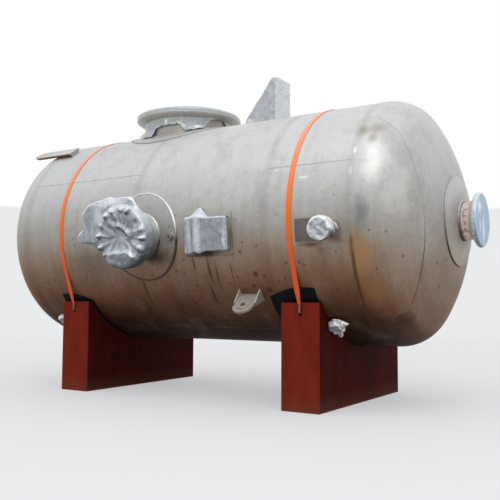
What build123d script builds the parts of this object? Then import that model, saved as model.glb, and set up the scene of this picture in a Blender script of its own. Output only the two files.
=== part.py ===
from build123d import *
import math
import os

# Vapour separator: a horizontal stainless vessel strapped down on two steel cradles.
# Millimetres, +Z up, +X along the vessel towards the head that carries the end nozzle, and -Y
# towards the side with the manway. The origin is on the ground under the middle of the right cradle.

os.makedirs("parts", exist_ok=True)

# Clearances
SEAT = 0.3                     # between a curved piece and the one it is laid on
BORE_CLEAR = 0.4               # between a neck and the hole it passes through
CUT_PROUD = 60.0               # how far a cutting tool stands out of the face it starts from

# Shell
VESSEL_R = 1200.0              # outside radius
WALL = 14.0                    # shell and head thickness
GROUND_CLEAR = 568.0           # ground to the underside of the shell
RIGHT_STRAKE_L = 846.0
MIDDLE_STRAKE_L = 1564.0
LEFT_STRAKE_L = 1620.0
RIGHT_OVERHANG = 580.0         # middle of the right cradle to the right head seam
LEFT_OVERHANG = 590.0          # left head seam to the middle of the left cradle

# Dished heads
HEAD_STRAIGHT = 32.0           # straight flange
CROWN_R = 1920.0               # outside crown radius
KNUCKLE_R = 370.0              # outside knuckle radius

# Nozzle necks
NECK_IN = 25.0                 # how far a neck stands into the vessel

# Manway; every fitting's angle is in degrees above the horizontal
MANWAY_FROM_SEAM = 125.0       # right of the seam between the left and middle strakes
MANWAY_ANGLE = -5.6
MANWAY_PAD_R = 439.0
MANWAY_PAD_T = 14.0
MANWAY_NECK_R = 228.0
MANWAY_NECK_WALL = 12.0
MANWAY_FLANGE_R = 296.0
MANWAY_FLANGE_T = 42.0
MANWAY_GASKET_T = 3.0
MANWAY_GASKET_W = 32.0
MANWAY_COVER_T = 40.0
MANWAY_STANDOFF = 312.0        # shell to the front of the cover
TELLTALE_OUT = 380.0           # tell-tale coupling on the pad, from the manway's axis
TELLTALE_LIFT = -14.0
TELLTALE_R = 31.0
TELLTALE_BORE_R = 12.0
TELLTALE_H = 52.0

# Loose film pocket on the manway's rim: its corners in shares of the flange's radius
POCKET_SHAPE = (
    (-0.676, 0.338),
    (0.000, 0.676),
    (0.405, 0.709),
    (0.507, 1.014),
    (0.270, 1.267),
    (-0.372, 1.311),
    (-1.047, 1.284),
    (-1.649, 1.155),
    (-1.909, 0.895),
    (-1.858, 0.541),
    (-1.916, 0.338),
    (-2.213, 0.047),
    (-2.095, -0.074),
    (-1.419, -0.115),
    (-1.149, -0.311),
    (-0.811, -0.304),
)
POCKET_H = 70.0                # depth of the pocket along the manway

# Top nozzle
TOP_FROM_SEAM = 202.0          # left of the seam between the left and middle strakes
TOP_FLANGE_R = 610.0
TOP_FLANGE_RING = 102.0        # outside of the neck to the flange's edge
TOP_NECK_R = TOP_FLANGE_R - TOP_FLANGE_RING
TOP_NECK_WALL = 16.0
TOP_PAD_RING = 164.0           # outside of the neck to the pad's edge
TOP_PAD_R = TOP_NECK_R + TOP_PAD_RING
TOP_PAD_T = 14.0
TOP_FLANGE_T = 48.0
TOP_STANDOFF = 198.0           # crest of the shell to the flange face
TOP_SKIRT = 110.0              # how far the film hangs below the flange

# Clip box
BOX_FROM_PAD = 104.0           # between the manway's pad and the box's pad
BOX_ANGLE = -6.1
BOX_PAD_W = 543.0
BOX_PAD_H = 400.0
BOX_PAD_T = 12.0
BOX_W = 466.0
BOX_H = 300.0
BOX_PLATE_T = 12.0
BOX_STANDOFF = 66.0
BOX_SHIFT = 24.0               # box to the middle of its pad, along the vessel

# Lifting lug
LUG_FROM_SEAM = 254.0          # left of the seam between the middle and right strakes
LUG_ANGLE = -36.0
LUG_W = 212.0
LUG_REACH = 290.0
LUG_T = 22.0
LUG_HOLE_R = 26.0
LUG_HOLE_OUT = 184.0           # shell to the middle of the hole
LUG_CHEEK_R = 66.0
LUG_CHEEK_T = 10.0
LUG_GUSSET_T = 14.0
LUG_GUSSET_HALF = 66.0
LUG_GUSSET_OUT = 150.0
LUG_GUSSET_TIP = 16.0          # half width of a gusset at its outer end
LUG_GUSSET_FOOT = 8.0

# Small side nozzle, and the plain plate beside it
SMALL_FROM_SEAM = 168.0        # left of the right head seam
SMALL_ANGLE = -6.4
SMALL_NECK_R = 44.5
SMALL_NECK_WALL = 5.5
SMALL_FLANGE_R = 98.0
SMALL_FLANGE_T = 22.0
SMALL_JOINT = 2.0
SMALL_BLIND_T = 20.0
SMALL_STANDOFF = 226.0
CLIP_FROM_SEAM = 381.0         # left of the right head seam
CLIP_ANGLE = -6.6
CLIP_W = 262.0
CLIP_H = 202.0
CLIP_T = 10.0

# Drains
DRAIN_NECK_R = 24.0
DRAIN_NECK_WALL = 4.0
DRAIN_FLANGE_R = 58.0
DRAIN_FLANGE_T = 20.0
DRAIN_STANDOFF = 86.0
RIGHT_DRAIN_FROM_SEAM = 306.0  # left of the right head seam
RIGHT_DRAIN_ANGLE = -52.0
LEFT_DRAIN_FROM_SEAM = 235.0   # right of the left head seam
LEFT_DRAIN_ANGLE = -51.0

# Wedge bracket on the crest
BRACKET_FROM_SEAM = 474.0      # left of the seam between the middle and right strakes
BRACKET_L = 372.0              # along the vessel
BRACKET_W = 276.0              # across the vessel
BRACKET_H = 470.0
BRACKET_T = 14.0
BRACKET_TIP = 30.0             # length of a gusset's level top
BRACKET_STEP = 12.0            # gusset top to the top of the upright
BRACKET_TOE = 14.0             # height of a gusset's free end

# Tailing lug at the left end
TAIL_ANGLE = 56.0
TAIL_INBOARD = 215.0           # from the left head seam towards the middle of the vessel
TAIL_OUTBOARD = 425.0          # from the left head seam past the head
TAIL_W = 180.0
TAIL_T = 25.0
TAIL_OUT = 22.0                # shell to the underside of the plate
TAIL_CORNER = 35.0
TAIL_CUT = 100.0
PACKER_L = 170.0
PACKER_W = 130.0

# End nozzle
END_PAD_R = 426.0
END_PAD_T = 12.0
END_NECK_R = 178.0
END_NECK_WALL = 9.5
END_FLANGE_R = 251.0
END_FLANGE_T = 32.0
END_HUB_R = 205.0
END_HUB_L = 46.0
END_STANDOFF = 176.0           # head apex to the flange face
TAPE_T = 3.0
TAPE_W = 66.0
TAPE_FROM_HUB = 4.0

# Film wraps
FILM_T = 3.0
FILM_GAP = 5.0                 # film to the rim it hangs round
FILM_SEAT = 0.3                # film to the face it lies on
FILM_LIP = 14.0                # how far a film's rim runs behind the flange
FILM_HEM = 16.0                # lower edge of a film to the pad or shell under it

# Cradles
CRADLE_W = 390.0
HORN_ANGLE = 40.4              # how far below the horizontal the saddle ends
HORN_LAND = 61.0               # shell to the outer face of the end plate, at the horn
BASE_T = 16.0
WEB_T = 12.0
END_T = 12.0
SADDLE_T = 12.0
HORN_T = 12.0
MAT_T = 8.0
SLOT_W = 26.0
SLOT_H = 66.0
SLOT_DROP = 90.0               # horn to the middle of the strap's slot

# Rubber mats: overhang at the two sides of the cradle, and the angle of the free edge at each side
RIGHT_MAT_LEFT_L = 128.0
RIGHT_MAT_RIGHT_L = -29.0      # short of the cradle's side
RIGHT_MAT_ANGLES = (-37.0, -32.5)
LEFT_MAT_LEFT_L = 13.0
LEFT_MAT_RIGHT_L = 29.0
LEFT_MAT_ANGLES = (-35.5, -39.5)

# Straps
STRAP_W = 50.0
STRAP_T = 3.5
STRAP_GAP = 0.4
STRAP_NECK_W = 30.0            # the webbing gathered into its hook
STRAP_NECK_L = 22.0
STRAP_TAPER_L = 90.0
RIGHT_STRAP_SHIFT = 5.0        # from the middle of the cradle, along the vessel
LEFT_STRAP_SHIFT = -18.0
HOOK_OUT = 23.0                # outer face of the end plate to the webbing's end
HOOK_DROP = 8.0                # horn to the webbing's end
HOOK_W = 12.0
HOOK_SHANK = 24.0
HOOK_BAR = 12.0
HOOK_LIP = 10.0

# Levels and stations that follow
AXIS_Z = GROUND_CLEAR + VESSEL_R
RIGHT_SEAM = RIGHT_OVERHANG
MID_RIGHT_SEAM = RIGHT_SEAM - RIGHT_STRAKE_L
LEFT_MID_SEAM = MID_RIGHT_SEAM - MIDDLE_STRAKE_L
LEFT_SEAM = LEFT_MID_SEAM - LEFT_STRAKE_L
RIGHT_CRADLE = 0.0
LEFT_CRADLE = LEFT_SEAM + LEFT_OVERHANG
HORN_Z = AXIS_Z - VESSEL_R * math.sin(math.radians(HORN_ANGLE))
CRADLE_L = 2 * (VESSEL_R * math.cos(math.radians(HORN_ANGLE)) + HORN_LAND)
CUT_DEPTH = VESSEL_R / 2


# Shapes placed on the vessel

def cyl_x(x0, x1, r):
    """A cylinder along the vessel axis."""
    return Pos((x0 + x1) / 2, 0, AXIS_Z) * Rot(0, 90, 0) * Cylinder(r, abs(x1 - x0))


def ring_x(x0, x1, r_out, r_in):
    """A tube along the vessel axis."""
    return cyl_x(x0, x1, r_out) - cyl_x(x0 - CUT_PROUD, x1 + CUT_PROUD, r_in)


def on_shell(x, angle, out=0.0):
    """Plane square to the shell: local +Z points out, local +X along the vessel."""
    a = math.radians(angle)
    d = Vector(0, -math.cos(a), math.sin(a))
    origin = Vector(x, 0, AXIS_Z) + d * (VESSEL_R + out)
    return Plane(origin=origin, x_dir=(1, 0, 0), z_dir=d)


def disc(plane, r, h0, h1):
    """A cylinder along the plane's normal, between two heights over the plane."""
    return plane * Pos(0, 0, (h0 + h1) / 2) * Cylinder(r, h1 - h0)


def tube(plane, r_out, r_in, h0, h1):
    """A tube along the plane's normal."""
    return disc(plane, r_out, h0, h1) - disc(plane, r_in, h0 - CUT_PROUD, h1 + CUT_PROUD)


def block(plane, w, d, h0, h1, x=0.0):
    """A box along the plane's normal, between two heights over the plane."""
    return plane * Pos(x, 0, (h0 + h1) / 2) * Box(w, d, h1 - h0)


def turned(plane, pairs):
    """A solid turned about the plane's normal, from (radius, height) pairs."""
    return plane * revolve(Plane.XZ * Polygon(*pairs, align=None), Axis.Z)


def sag(r):
    """How far the shell drops at a distance r to the side of its crest."""
    return VESSEL_R - math.sqrt(VESSEL_R**2 - r**2)


def neck(plane, r, wall, top):
    """A nozzle neck from inside the vessel up to a height over the plane."""
    return tube(plane, r, r - wall, -(sag(r) + WALL + NECK_IN), top)


def shell_patch(cutter, t):
    """A curved plate of thickness t laid on the shell, cut to the outline of a tool."""
    return ring_x(LEFT_SEAM, RIGHT_SEAM, VESSEL_R + SEAT + t, VESSEL_R + SEAT) & cutter


def barrel(out):
    """The whole shell as a solid, grown by a clearance, for cutting feet to its curve."""
    return cyl_x(LEFT_SEAM, RIGHT_SEAM, VESSEL_R + out)


def film_cup(plane, flange_r, neck_r, flange_back, face, hem):
    """Film over a flange and down its neck: flat on the face, drawn in to the neck below."""
    rim = flange_r + FILM_GAP
    skirt = neck_r + FILM_GAP
    top = face + FILM_SEAT
    lip = flange_back - FILM_LIP
    outside = [(0, top + FILM_T), (rim + FILM_T, top + FILM_T), (rim + FILM_T, lip)]
    inside = [(rim, lip + FILM_T), (rim, top), (0, top)]
    return turned(plane, outside + [(skirt + FILM_T, hem), (skirt, hem)] + inside)


def save(shape, node):
    """Write one node."""
    export_step(shape, f"parts/{node}.step")


# Stations of the fittings
manway_x = LEFT_MID_SEAM + MANWAY_FROM_SEAM
manway = on_shell(manway_x, MANWAY_ANGLE)
crest = on_shell(LEFT_MID_SEAM - TOP_FROM_SEAM, 90)
box = on_shell(manway_x + MANWAY_PAD_R + BOX_FROM_PAD + BOX_PAD_W / 2, BOX_ANGLE)
lug = on_shell(MID_RIGHT_SEAM - LUG_FROM_SEAM, LUG_ANGLE)
small = on_shell(RIGHT_SEAM - SMALL_FROM_SEAM, SMALL_ANGLE)
clip = on_shell(RIGHT_SEAM - CLIP_FROM_SEAM, CLIP_ANGLE)
drains = {
    "right": on_shell(RIGHT_SEAM - RIGHT_DRAIN_FROM_SEAM, RIGHT_DRAIN_ANGLE),
    "left": on_shell(LEFT_SEAM + LEFT_DRAIN_FROM_SEAM, LEFT_DRAIN_ANGLE),
}


# Shell: three rolled strakes, pierced where the necks come through

def bore(plane, r):
    """The hole for a neck of radius r."""
    return disc(plane, r + BORE_CLEAR, -CUT_DEPTH, CUT_PROUD)


bores = [
    bore(manway, MANWAY_NECK_R),
    bore(crest, TOP_NECK_R),
    bore(small, SMALL_NECK_R),
    bore(drains["right"], DRAIN_NECK_R),
    bore(drains["left"], DRAIN_NECK_R),
]
strakes = {
    "left_strake": (LEFT_SEAM, LEFT_MID_SEAM),
    "middle_strake": (LEFT_MID_SEAM, MID_RIGHT_SEAM),
    "right_strake": (MID_RIGHT_SEAM, RIGHT_SEAM),
}
for node, (start, end) in strakes.items():
    strake = ring_x(start, end, VESSEL_R, VESSEL_R - WALL)
    for hole in bores:
        strake = strake - hole
    save(strake, node)


# Dished heads: straight flange, knuckle and crown, with parallel inner and outer faces

KNUCKLE_CY = VESSEL_R - KNUCKLE_R
CROWN_TO_KNUCKLE = math.sqrt((CROWN_R - KNUCKLE_R) ** 2 - KNUCKLE_CY**2)
CROWN_CX = HEAD_STRAIGHT - CROWN_TO_KNUCKLE
HEAD_DEPTH = CROWN_CX + CROWN_R
TANGENT = math.atan2(KNUCKLE_CY, CROWN_TO_KNUCKLE)


def crown_point(inset, angle):
    """A point of the crown, by the angle between the axis and the surface's normal."""
    r = CROWN_R - inset
    return (CROWN_CX + r * math.cos(angle), r * math.sin(angle))


def knuckle_point(inset, angle):
    """A point of the knuckle, by the same angle."""
    r = KNUCKLE_R - inset
    return (HEAD_STRAIGHT + r * math.cos(angle), KNUCKLE_CY + r * math.sin(angle))


def head_solid():
    """A dished head with its seam at x = 0 and its apex towards +X."""
    side = math.pi / 2
    mid = (TANGENT + side) / 2
    with BuildSketch() as profile:
        with BuildLine():
            for inset in (0, WALL):
                rim = (0, VESSEL_R - inset)
                Line(rim, knuckle_point(inset, side))
                ThreePointArc(*(knuckle_point(inset, a) for a in (side, mid, TANGENT)))
                ThreePointArc(*(crown_point(inset, a) for a in (TANGENT, TANGENT / 2, 0)))
            Line((0, VESSEL_R), (0, VESSEL_R - WALL))
            Line(crown_point(0, 0), crown_point(WALL, 0))
        make_face()
    return revolve(profile.sketch, Axis.X)


apex = Plane(origin=(RIGHT_SEAM + HEAD_DEPTH, 0, AXIS_Z), x_dir=(0, 1, 0), z_dir=(1, 0, 0))
head = head_solid()
save(Pos(LEFT_SEAM, 0, AXIS_Z) * Rot(0, 0, 180) * head, "left_head")
save(Pos(RIGHT_SEAM, 0, AXIS_Z) * head - bore(apex, END_NECK_R), "right_head")


# Manway: reinforcing pad, neck, flange, gasket, blind cover, tell-tale coupling and film

gasket_at = MANWAY_STANDOFF - MANWAY_COVER_T - MANWAY_GASKET_T
flange_at = gasket_at - MANWAY_FLANGE_T
bore_r = MANWAY_NECK_R - MANWAY_NECK_WALL
telltale = on_shell(
    manway_x + TELLTALE_OUT, MANWAY_ANGLE + math.degrees(TELLTALE_LIFT / VESSEL_R)
)
pad = shell_patch(disc(manway, MANWAY_PAD_R, -CUT_DEPTH, CUT_PROUD), MANWAY_PAD_T)
save(pad - bore(manway, MANWAY_NECK_R) - bore(telltale, TELLTALE_R), "manway_pad")
save(tube(telltale, TELLTALE_R, TELLTALE_BORE_R, SEAT, TELLTALE_H), "manway_telltale")
save(neck(manway, MANWAY_NECK_R, MANWAY_NECK_WALL, flange_at), "manway_neck")
save(tube(manway, MANWAY_FLANGE_R, bore_r, flange_at, gasket_at), "manway_flange")
save(
    tube(manway, bore_r + MANWAY_GASKET_W, bore_r, gasket_at, gasket_at + MANWAY_GASKET_T),
    "manway_gasket",
)
save(
    disc(manway, MANWAY_FLANGE_R, gasket_at + MANWAY_GASKET_T, MANWAY_STANDOFF), "manway_cover"
)
film = film_cup(
    manway,
    MANWAY_FLANGE_R,
    MANWAY_NECK_R,
    flange_at,
    MANWAY_STANDOFF,
    MANWAY_PAD_T + FILM_HEM,
)

# A loose pocket of the same film hangs off the rim, up and to the left
corners = [(u * MANWAY_FLANGE_R, v * MANWAY_FLANGE_R) for u, v in POCKET_SHAPE]
pocket_outline = Polygon(*corners, align=None)
rim_tool = disc(manway, MANWAY_FLANGE_R + FILM_GAP + FILM_T / 2, -CUT_PROUD, MANWAY_STANDOFF)
pocket = manway * Pos(0, 0, flange_at) * extrude(pocket_outline, POCKET_H)
inner_outline = offset(pocket_outline, -FILM_T)
inner = manway * Pos(0, 0, flange_at - FILM_T) * extrude(inner_outline, POCKET_H)
save(film + (pocket - inner - rim_tool), "manway_film")


# Top nozzle: reinforcing pad, neck, flange and film

flange_at = TOP_STANDOFF - TOP_FLANGE_T
pad = shell_patch(disc(crest, TOP_PAD_R, -CUT_DEPTH, CUT_PROUD), TOP_PAD_T)
save(pad - bore(crest, TOP_NECK_R), "top_nozzle_pad")
save(neck(crest, TOP_NECK_R, TOP_NECK_WALL, flange_at), "top_nozzle_neck")
save(
    tube(crest, TOP_FLANGE_R, TOP_NECK_R - TOP_NECK_WALL, flange_at, TOP_STANDOFF),
    "top_nozzle_flange",
)
save(
    film_cup(crest, TOP_FLANGE_R, TOP_NECK_R, flange_at, TOP_STANDOFF, flange_at - TOP_SKIRT),
    "top_nozzle_film",
)


# Clip box: curved pad, a frame of four plates, and film

def box_shape(grow, top):
    """The box's outline grown on every side, up to a height over the shell."""
    return block(box, BOX_W + 2 * grow, BOX_H + 2 * grow, -CUT_PROUD, top, x=BOX_SHIFT)


save(
    shell_patch(block(box, BOX_PAD_W, BOX_PAD_H, -CUT_DEPTH, CUT_PROUD), BOX_PAD_T), "box_pad"
)
on_pad = barrel(BOX_PAD_T + 2 * SEAT)
save(
    box_shape(0, BOX_STANDOFF) - box_shape(-BOX_PLATE_T, BOX_STANDOFF + CUT_PROUD) - on_pad,
    "box_frame",
)
film = box_shape(FILM_GAP + FILM_T, BOX_STANDOFF + FILM_SEAT + FILM_T)
film = film - box_shape(FILM_GAP, BOX_STANDOFF + FILM_SEAT)
save(film - barrel(BOX_PAD_T + FILM_GAP), "box_film")


# Lifting lug: a round-ended plate with a cheek ring on each face, and a gusset at each side

half = LUG_W / 2
round_at = LUG_REACH - half
eye = Pos(0, LUG_HOLE_OUT) * Circle(LUG_HOLE_R)
outline = Pos(0, round_at / 2) * Rectangle(LUG_W, round_at) + Pos(0, round_at) * Circle(half)
foot = Pos(0, -CUT_PROUD / 2) * Rectangle(LUG_W, CUT_PROUD)
flat = lug * Plane(origin=(0, 0, 0), x_dir=(1, 0, 0), z_dir=(0, -1, 0))
cheek = Pos(0, LUG_HOLE_OUT) * Circle(LUG_CHEEK_R) - eye
plate = extrude(flat * (outline + foot - eye), LUG_T / 2, both=True)
plate = plate + extrude(flat * cheek, LUG_T / 2 + LUG_CHEEK_T, both=True)
save(plate - barrel(SEAT), "lug_plate")
gussets = []
for sign in (-1, 1):
    edge = sign * (half + SEAT + LUG_GUSSET_T / 2)
    across = lug * Plane(origin=(edge, 0, 0), x_dir=(0, 1, 0), z_dir=(1, 0, 0))
    outline = Polygon(
        (-LUG_GUSSET_HALF, -CUT_PROUD),
        (-LUG_GUSSET_HALF, LUG_GUSSET_FOOT),
        (-LUG_GUSSET_TIP, LUG_GUSSET_OUT),
        (LUG_GUSSET_TIP, LUG_GUSSET_OUT),
        (LUG_GUSSET_HALF, LUG_GUSSET_FOOT),
        (LUG_GUSSET_HALF, -CUT_PROUD),
        align=None,
    )
    gussets.append(extrude(across * outline, LUG_GUSSET_T / 2, both=True) - barrel(SEAT))
save(Compound(children=gussets), "lug_gussets")


# Small side nozzle with its blind and film, and the plain plate beside it

blind_at = SMALL_STANDOFF - SMALL_BLIND_T
face_at = blind_at - SMALL_JOINT
flange_at = face_at - SMALL_FLANGE_T
bore_r = SMALL_NECK_R - SMALL_NECK_WALL
save(neck(small, SMALL_NECK_R, SMALL_NECK_WALL, flange_at), "small_nozzle_neck")
save(tube(small, SMALL_FLANGE_R, bore_r, flange_at, face_at), "small_nozzle_flange")
blind = disc(small, SMALL_FLANGE_R, blind_at, SMALL_STANDOFF)
save(blind + disc(small, SMALL_FLANGE_R / 2, face_at, blind_at), "small_nozzle_blind")
save(
    film_cup(small, SMALL_FLANGE_R, SMALL_NECK_R, flange_at, SMALL_STANDOFF, FILM_HEM),
    "small_nozzle_film",
)
save(shell_patch(block(clip, CLIP_W, CLIP_H, -CUT_DEPTH, CUT_PROUD), CLIP_T), "clip_plate")


# Drains: a flanged stub at each end of the shell, bundled in film

for name, at in drains.items():
    flange_at = DRAIN_STANDOFF - DRAIN_FLANGE_T
    stub = neck(at, DRAIN_NECK_R, DRAIN_NECK_WALL, flange_at)
    flange = tube(
        at, DRAIN_FLANGE_R, DRAIN_NECK_R - DRAIN_NECK_WALL, flange_at, DRAIN_STANDOFF
    )
    save(stub + flange, f"{name}_drain")
    save(
        film_cup(at, DRAIN_FLANGE_R, DRAIN_NECK_R, flange_at, DRAIN_STANDOFF, FILM_HEM),
        f"{name}_drain_film",
    )


# Wedge bracket on the crest: an upright plate with two gussets behind it, under film

bracket_x = MID_RIGHT_SEAM - BRACKET_FROM_SEAM
crown_z = AXIS_Z + VESSEL_R
bracket_foot = sag(BRACKET_W / 2) + CUT_PROUD
side_plane = Plane(origin=(bracket_x, 0, crown_z), x_dir=(-1, 0, 0), z_dir=(0, 1, 0))
upright = Pos(bracket_x - BRACKET_T / 2, 0, crown_z + (BRACKET_H - bracket_foot) / 2) * Box(
    BRACKET_T, BRACKET_W, BRACKET_H + bracket_foot
)
save(upright - barrel(SEAT), "bracket_upright")


def wedge_outline(back, tip_h, toe_h, grow):
    """A gusset's outline, from the upright towards the left, grown by a clearance."""
    return Polygon(
        (back, -bracket_foot),
        (back, tip_h),
        (BRACKET_T + BRACKET_TIP + grow, tip_h),
        (BRACKET_L + grow, toe_h),
        (BRACKET_L + grow, -bracket_foot),
        align=None,
    )


gussets = []
for sign in (-1, 1):
    at = side_plane * Pos(0, 0, sign * (BRACKET_W - BRACKET_T) / 2)
    outline = wedge_outline(BRACKET_T, BRACKET_H - BRACKET_STEP, BRACKET_TOE, 0)
    gussets.append(extrude(at * outline, BRACKET_T / 2, both=True) - barrel(SEAT))
save(Compound(children=gussets), "bracket_gussets")


def wedge(grow, lift):
    """The bracket's outline grown on every side, as one prism across the vessel."""
    outline = wedge_outline(-grow, BRACKET_H + lift, BRACKET_TOE + grow, 2 * grow)
    return extrude(side_plane * outline, BRACKET_W / 2 + grow, both=True)


film = wedge(FILM_GAP + FILM_T, FILM_SEAT + FILM_T) - wedge(FILM_GAP, FILM_SEAT)
save(film - barrel(FILM_HEM), "bracket_film")


# Tailing lug: a plate tangent to the shell that reaches out past the left head, on a packer

tail_l = TAIL_INBOARD + TAIL_OUTBOARD
tail = on_shell(LEFT_SEAM + TAIL_INBOARD, TAIL_ANGLE, TAIL_OUT)
outline = Polygon(
    (0, -TAIL_W / 2),
    (0, TAIL_W / 2),
    (TAIL_CORNER - tail_l, TAIL_W / 2),
    (-tail_l, TAIL_W / 2 - TAIL_CORNER),
    (-tail_l, -TAIL_CORNER),
    (TAIL_CUT - tail_l, -TAIL_W / 2),
    align=None,
)
save(tail * extrude(outline, TAIL_T), "tail_lug_plate")
packer = block(tail, PACKER_L, PACKER_W, -TAIL_OUT - CUT_PROUD, -SEAT, x=-PACKER_L / 2)
save(packer - barrel(SEAT), "tail_lug_packer")


# End nozzle: pad on the crown, neck with its hub, flange, tape and film

crown = Pos(RIGHT_SEAM + CROWN_CX, 0, AXIS_Z)
cap = crown * (Sphere(CROWN_R + SEAT + END_PAD_T) - Sphere(CROWN_R + SEAT))
pad_tool = tube(apex, END_PAD_R, END_NECK_R + BORE_CLEAR, -CUT_DEPTH, CUT_PROUD)
save(cap & pad_tool, "end_nozzle_pad")
flange_at = END_STANDOFF - END_FLANGE_T
hub_at = flange_at - END_HUB_L
bore_r = END_NECK_R - END_NECK_WALL
inside = -(CROWN_R - math.sqrt(CROWN_R**2 - END_NECK_R**2) + WALL + NECK_IN)
neck_profile = [
    (bore_r, inside),
    (END_NECK_R, inside),
    (END_NECK_R, hub_at),
    (END_HUB_R, flange_at),
    (bore_r, flange_at),
]
save(turned(apex, neck_profile), "end_nozzle_neck")
save(tube(apex, END_FLANGE_R, bore_r, flange_at, END_STANDOFF), "end_nozzle_flange")
tape_top = hub_at - TAPE_FROM_HUB
save(
    tube(apex, END_NECK_R + SEAT + TAPE_T, END_NECK_R + SEAT, tape_top - TAPE_W, tape_top),
    "end_nozzle_tape",
)
face = END_STANDOFF + FILM_SEAT
cover = disc(apex, END_FLANGE_R + SEAT + FILM_T, flange_at, face + FILM_T)
save(cover - disc(apex, END_FLANGE_R + SEAT, flange_at - CUT_PROUD, face), "end_nozzle_film")


# Cradles: base plate, two webs, two slotted end plates, saddle plate and horn plates

MAT_R = VESSEL_R + SEAT
SADDLE_R = MAT_R + MAT_T + SEAT
SADDLE_OUT_R = SADDLE_R + SADDLE_T


def cradle(x, name, slot_x):
    """One cradle, open inside, with a slot for the strap's hook in each end plate."""
    save(Pos(x, 0, BASE_T / 2) * Box(CRADLE_W, CRADLE_L, BASE_T), f"{name}_cradle_base")
    height = HORN_Z - BASE_T
    mid_z = BASE_T + height / 2
    hollow = cyl_x(x - CRADLE_W, x + CRADLE_W, SADDLE_OUT_R + SEAT)
    webs = []
    for sign in (-1, 1):
        web_x = x + sign * (CRADLE_W - WEB_T) / 2
        webs.append(Pos(web_x, 0, mid_z) * Box(WEB_T, CRADLE_L - 2 * END_T, height) - hollow)
    save(Compound(children=webs), f"{name}_cradle_webs")
    ends = []
    horns = []
    for sign in (-1, 1):
        end_y = sign * (CRADLE_L - END_T) / 2
        plate = Pos(x, end_y, mid_z) * Box(CRADLE_W, END_T, height)
        slot = Pos(slot_x, end_y, HORN_Z - SLOT_DROP) * Box(SLOT_W, 2 * END_T, SLOT_H)
        ends.append(plate - slot)
        lid = Pos(x, sign * (CRADLE_L / 2 - END_T) / 2, HORN_Z - HORN_T / 2) * Box(
            CRADLE_W - 2 * WEB_T - SEAT, CRADLE_L / 2 - END_T, HORN_T
        )
        horns.append(lid - hollow)
    save(Compound(children=ends), f"{name}_cradle_ends")
    save(Compound(children=horns), f"{name}_cradle_horns")
    sleeve = ring_x(x - CRADLE_W / 2, x + CRADLE_W / 2, SADDLE_OUT_R, SADDLE_R)
    keep = Pos(x, 0, HORN_Z / 2) * Box(2 * CRADLE_W, 2 * CRADLE_L, HORN_Z)
    save(sleeve & keep, f"{name}_cradle_saddle")


def mat(x, left_l, right_l, angles, name):
    """A rubber sheet laid in the saddle; each end is cut on a slant."""
    x0 = x - CRADLE_W / 2 - left_l
    x1 = x + CRADLE_W / 2 + right_l
    sleeve = ring_x(x0, x1, MAT_R + MAT_T, MAT_R)
    far = 2 * VESSEL_R
    for flip in (-1, 1):
        sections = []
        for xx, angle in zip((x0, x1), angles):
            a = math.radians(angle)
            edge = Vector(xx, flip * far * math.cos(a), AXIS_Z + far * math.sin(a))
            roof = AXIS_Z + far
            corners = [Vector(xx, 0, AXIS_Z), edge, Vector(xx, edge.Y, roof), Vector(xx, 0, roof)]
            sections.append(Wire.make_polygon(corners, close=True))
        sleeve = sleeve - Solid.make_loft(sections, True)
    save(sleeve, f"{name}_mat")


# Straps: webbing over the vessel, straight from the shell to a hook in each end plate

def strap(x, name):
    """One strap with its two hooks."""
    r = VESSEL_R + STRAP_GAP
    end_y = CRADLE_L / 2 + HOOK_OUT
    end_z = HORN_Z - HOOK_DROP
    drop = AXIS_Z - end_z
    leaves_at = math.acos(r / math.hypot(end_y, drop)) - math.atan2(drop, end_y)
    leg_l = math.sqrt(end_y**2 + drop**2 - r**2)
    far = 2 * VESSEL_R
    below = Plane.YZ * Polygon(
        (0, AXIS_Z),
        (-far * math.cos(leaves_at), AXIS_Z + far * math.sin(leaves_at)),
        (-far, -far),
        (far, -far),
        (far * math.cos(leaves_at), AXIS_Z + far * math.sin(leaves_at)),
        align=None,
    )
    band = ring_x(x - STRAP_W / 2, x + STRAP_W / 2, r + STRAP_T, r)
    band = band - Pos(x, 0, 0) * extrude(below, STRAP_W, both=True)
    wide = STRAP_W / 2
    narrow = STRAP_NECK_W / 2
    taper_at = leg_l - STRAP_NECK_L - STRAP_TAPER_L
    leg_outline = Polygon(
        (wide, 0),
        (wide, taper_at),
        (narrow, leg_l - STRAP_NECK_L),
        (narrow, leg_l),
        (-narrow, leg_l),
        (-narrow, leg_l - STRAP_NECK_L),
        (-wide, taper_at),
        (-wide, 0),
        align=None,
    )
    hooks = []
    for flip in (-1, 1):
        out = Vector(0, flip * math.cos(leaves_at), math.sin(leaves_at))
        start = Vector(x, 0, AXIS_Z) + out * r
        along = Plane(origin=start, x_dir=(flip, 0, 0), z_dir=out)
        band = band + along * extrude(leg_outline, STRAP_T)
        hooks.append(hook(x, flip, end_z + min(0, STRAP_T * math.sin(leaves_at)) - SEAT))
    save(band, f"{name}_strap")
    save(Compound(children=hooks), f"{name}_strap_hooks")


def hook(x, flip, top):
    """A flat steel hook from the webbing's end through the slot of the end plate."""
    plane = Plane(origin=(x, 0, 0), x_dir=(0, flip, 0), z_dir=(flip, 0, 0))
    outer = CRADLE_L / 2
    inner = outer - END_T
    bar_z = HORN_Z - SLOT_DROP
    outline = Polygon(
        (outer + SEAT, top),
        (outer + SEAT + HOOK_SHANK, top),
        (outer + SEAT + HOOK_SHANK, bar_z),
        (outer + SEAT + HOOK_BAR, bar_z - HOOK_BAR),
        (inner - SEAT - HOOK_BAR, bar_z - HOOK_BAR),
        (inner - SEAT - HOOK_BAR, bar_z + HOOK_LIP),
        (inner - SEAT, bar_z + HOOK_LIP),
        (inner - SEAT, bar_z),
        (outer + SEAT, bar_z),
        align=None,
    )
    return extrude(plane * outline, HOOK_W / 2, both=True)


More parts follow.
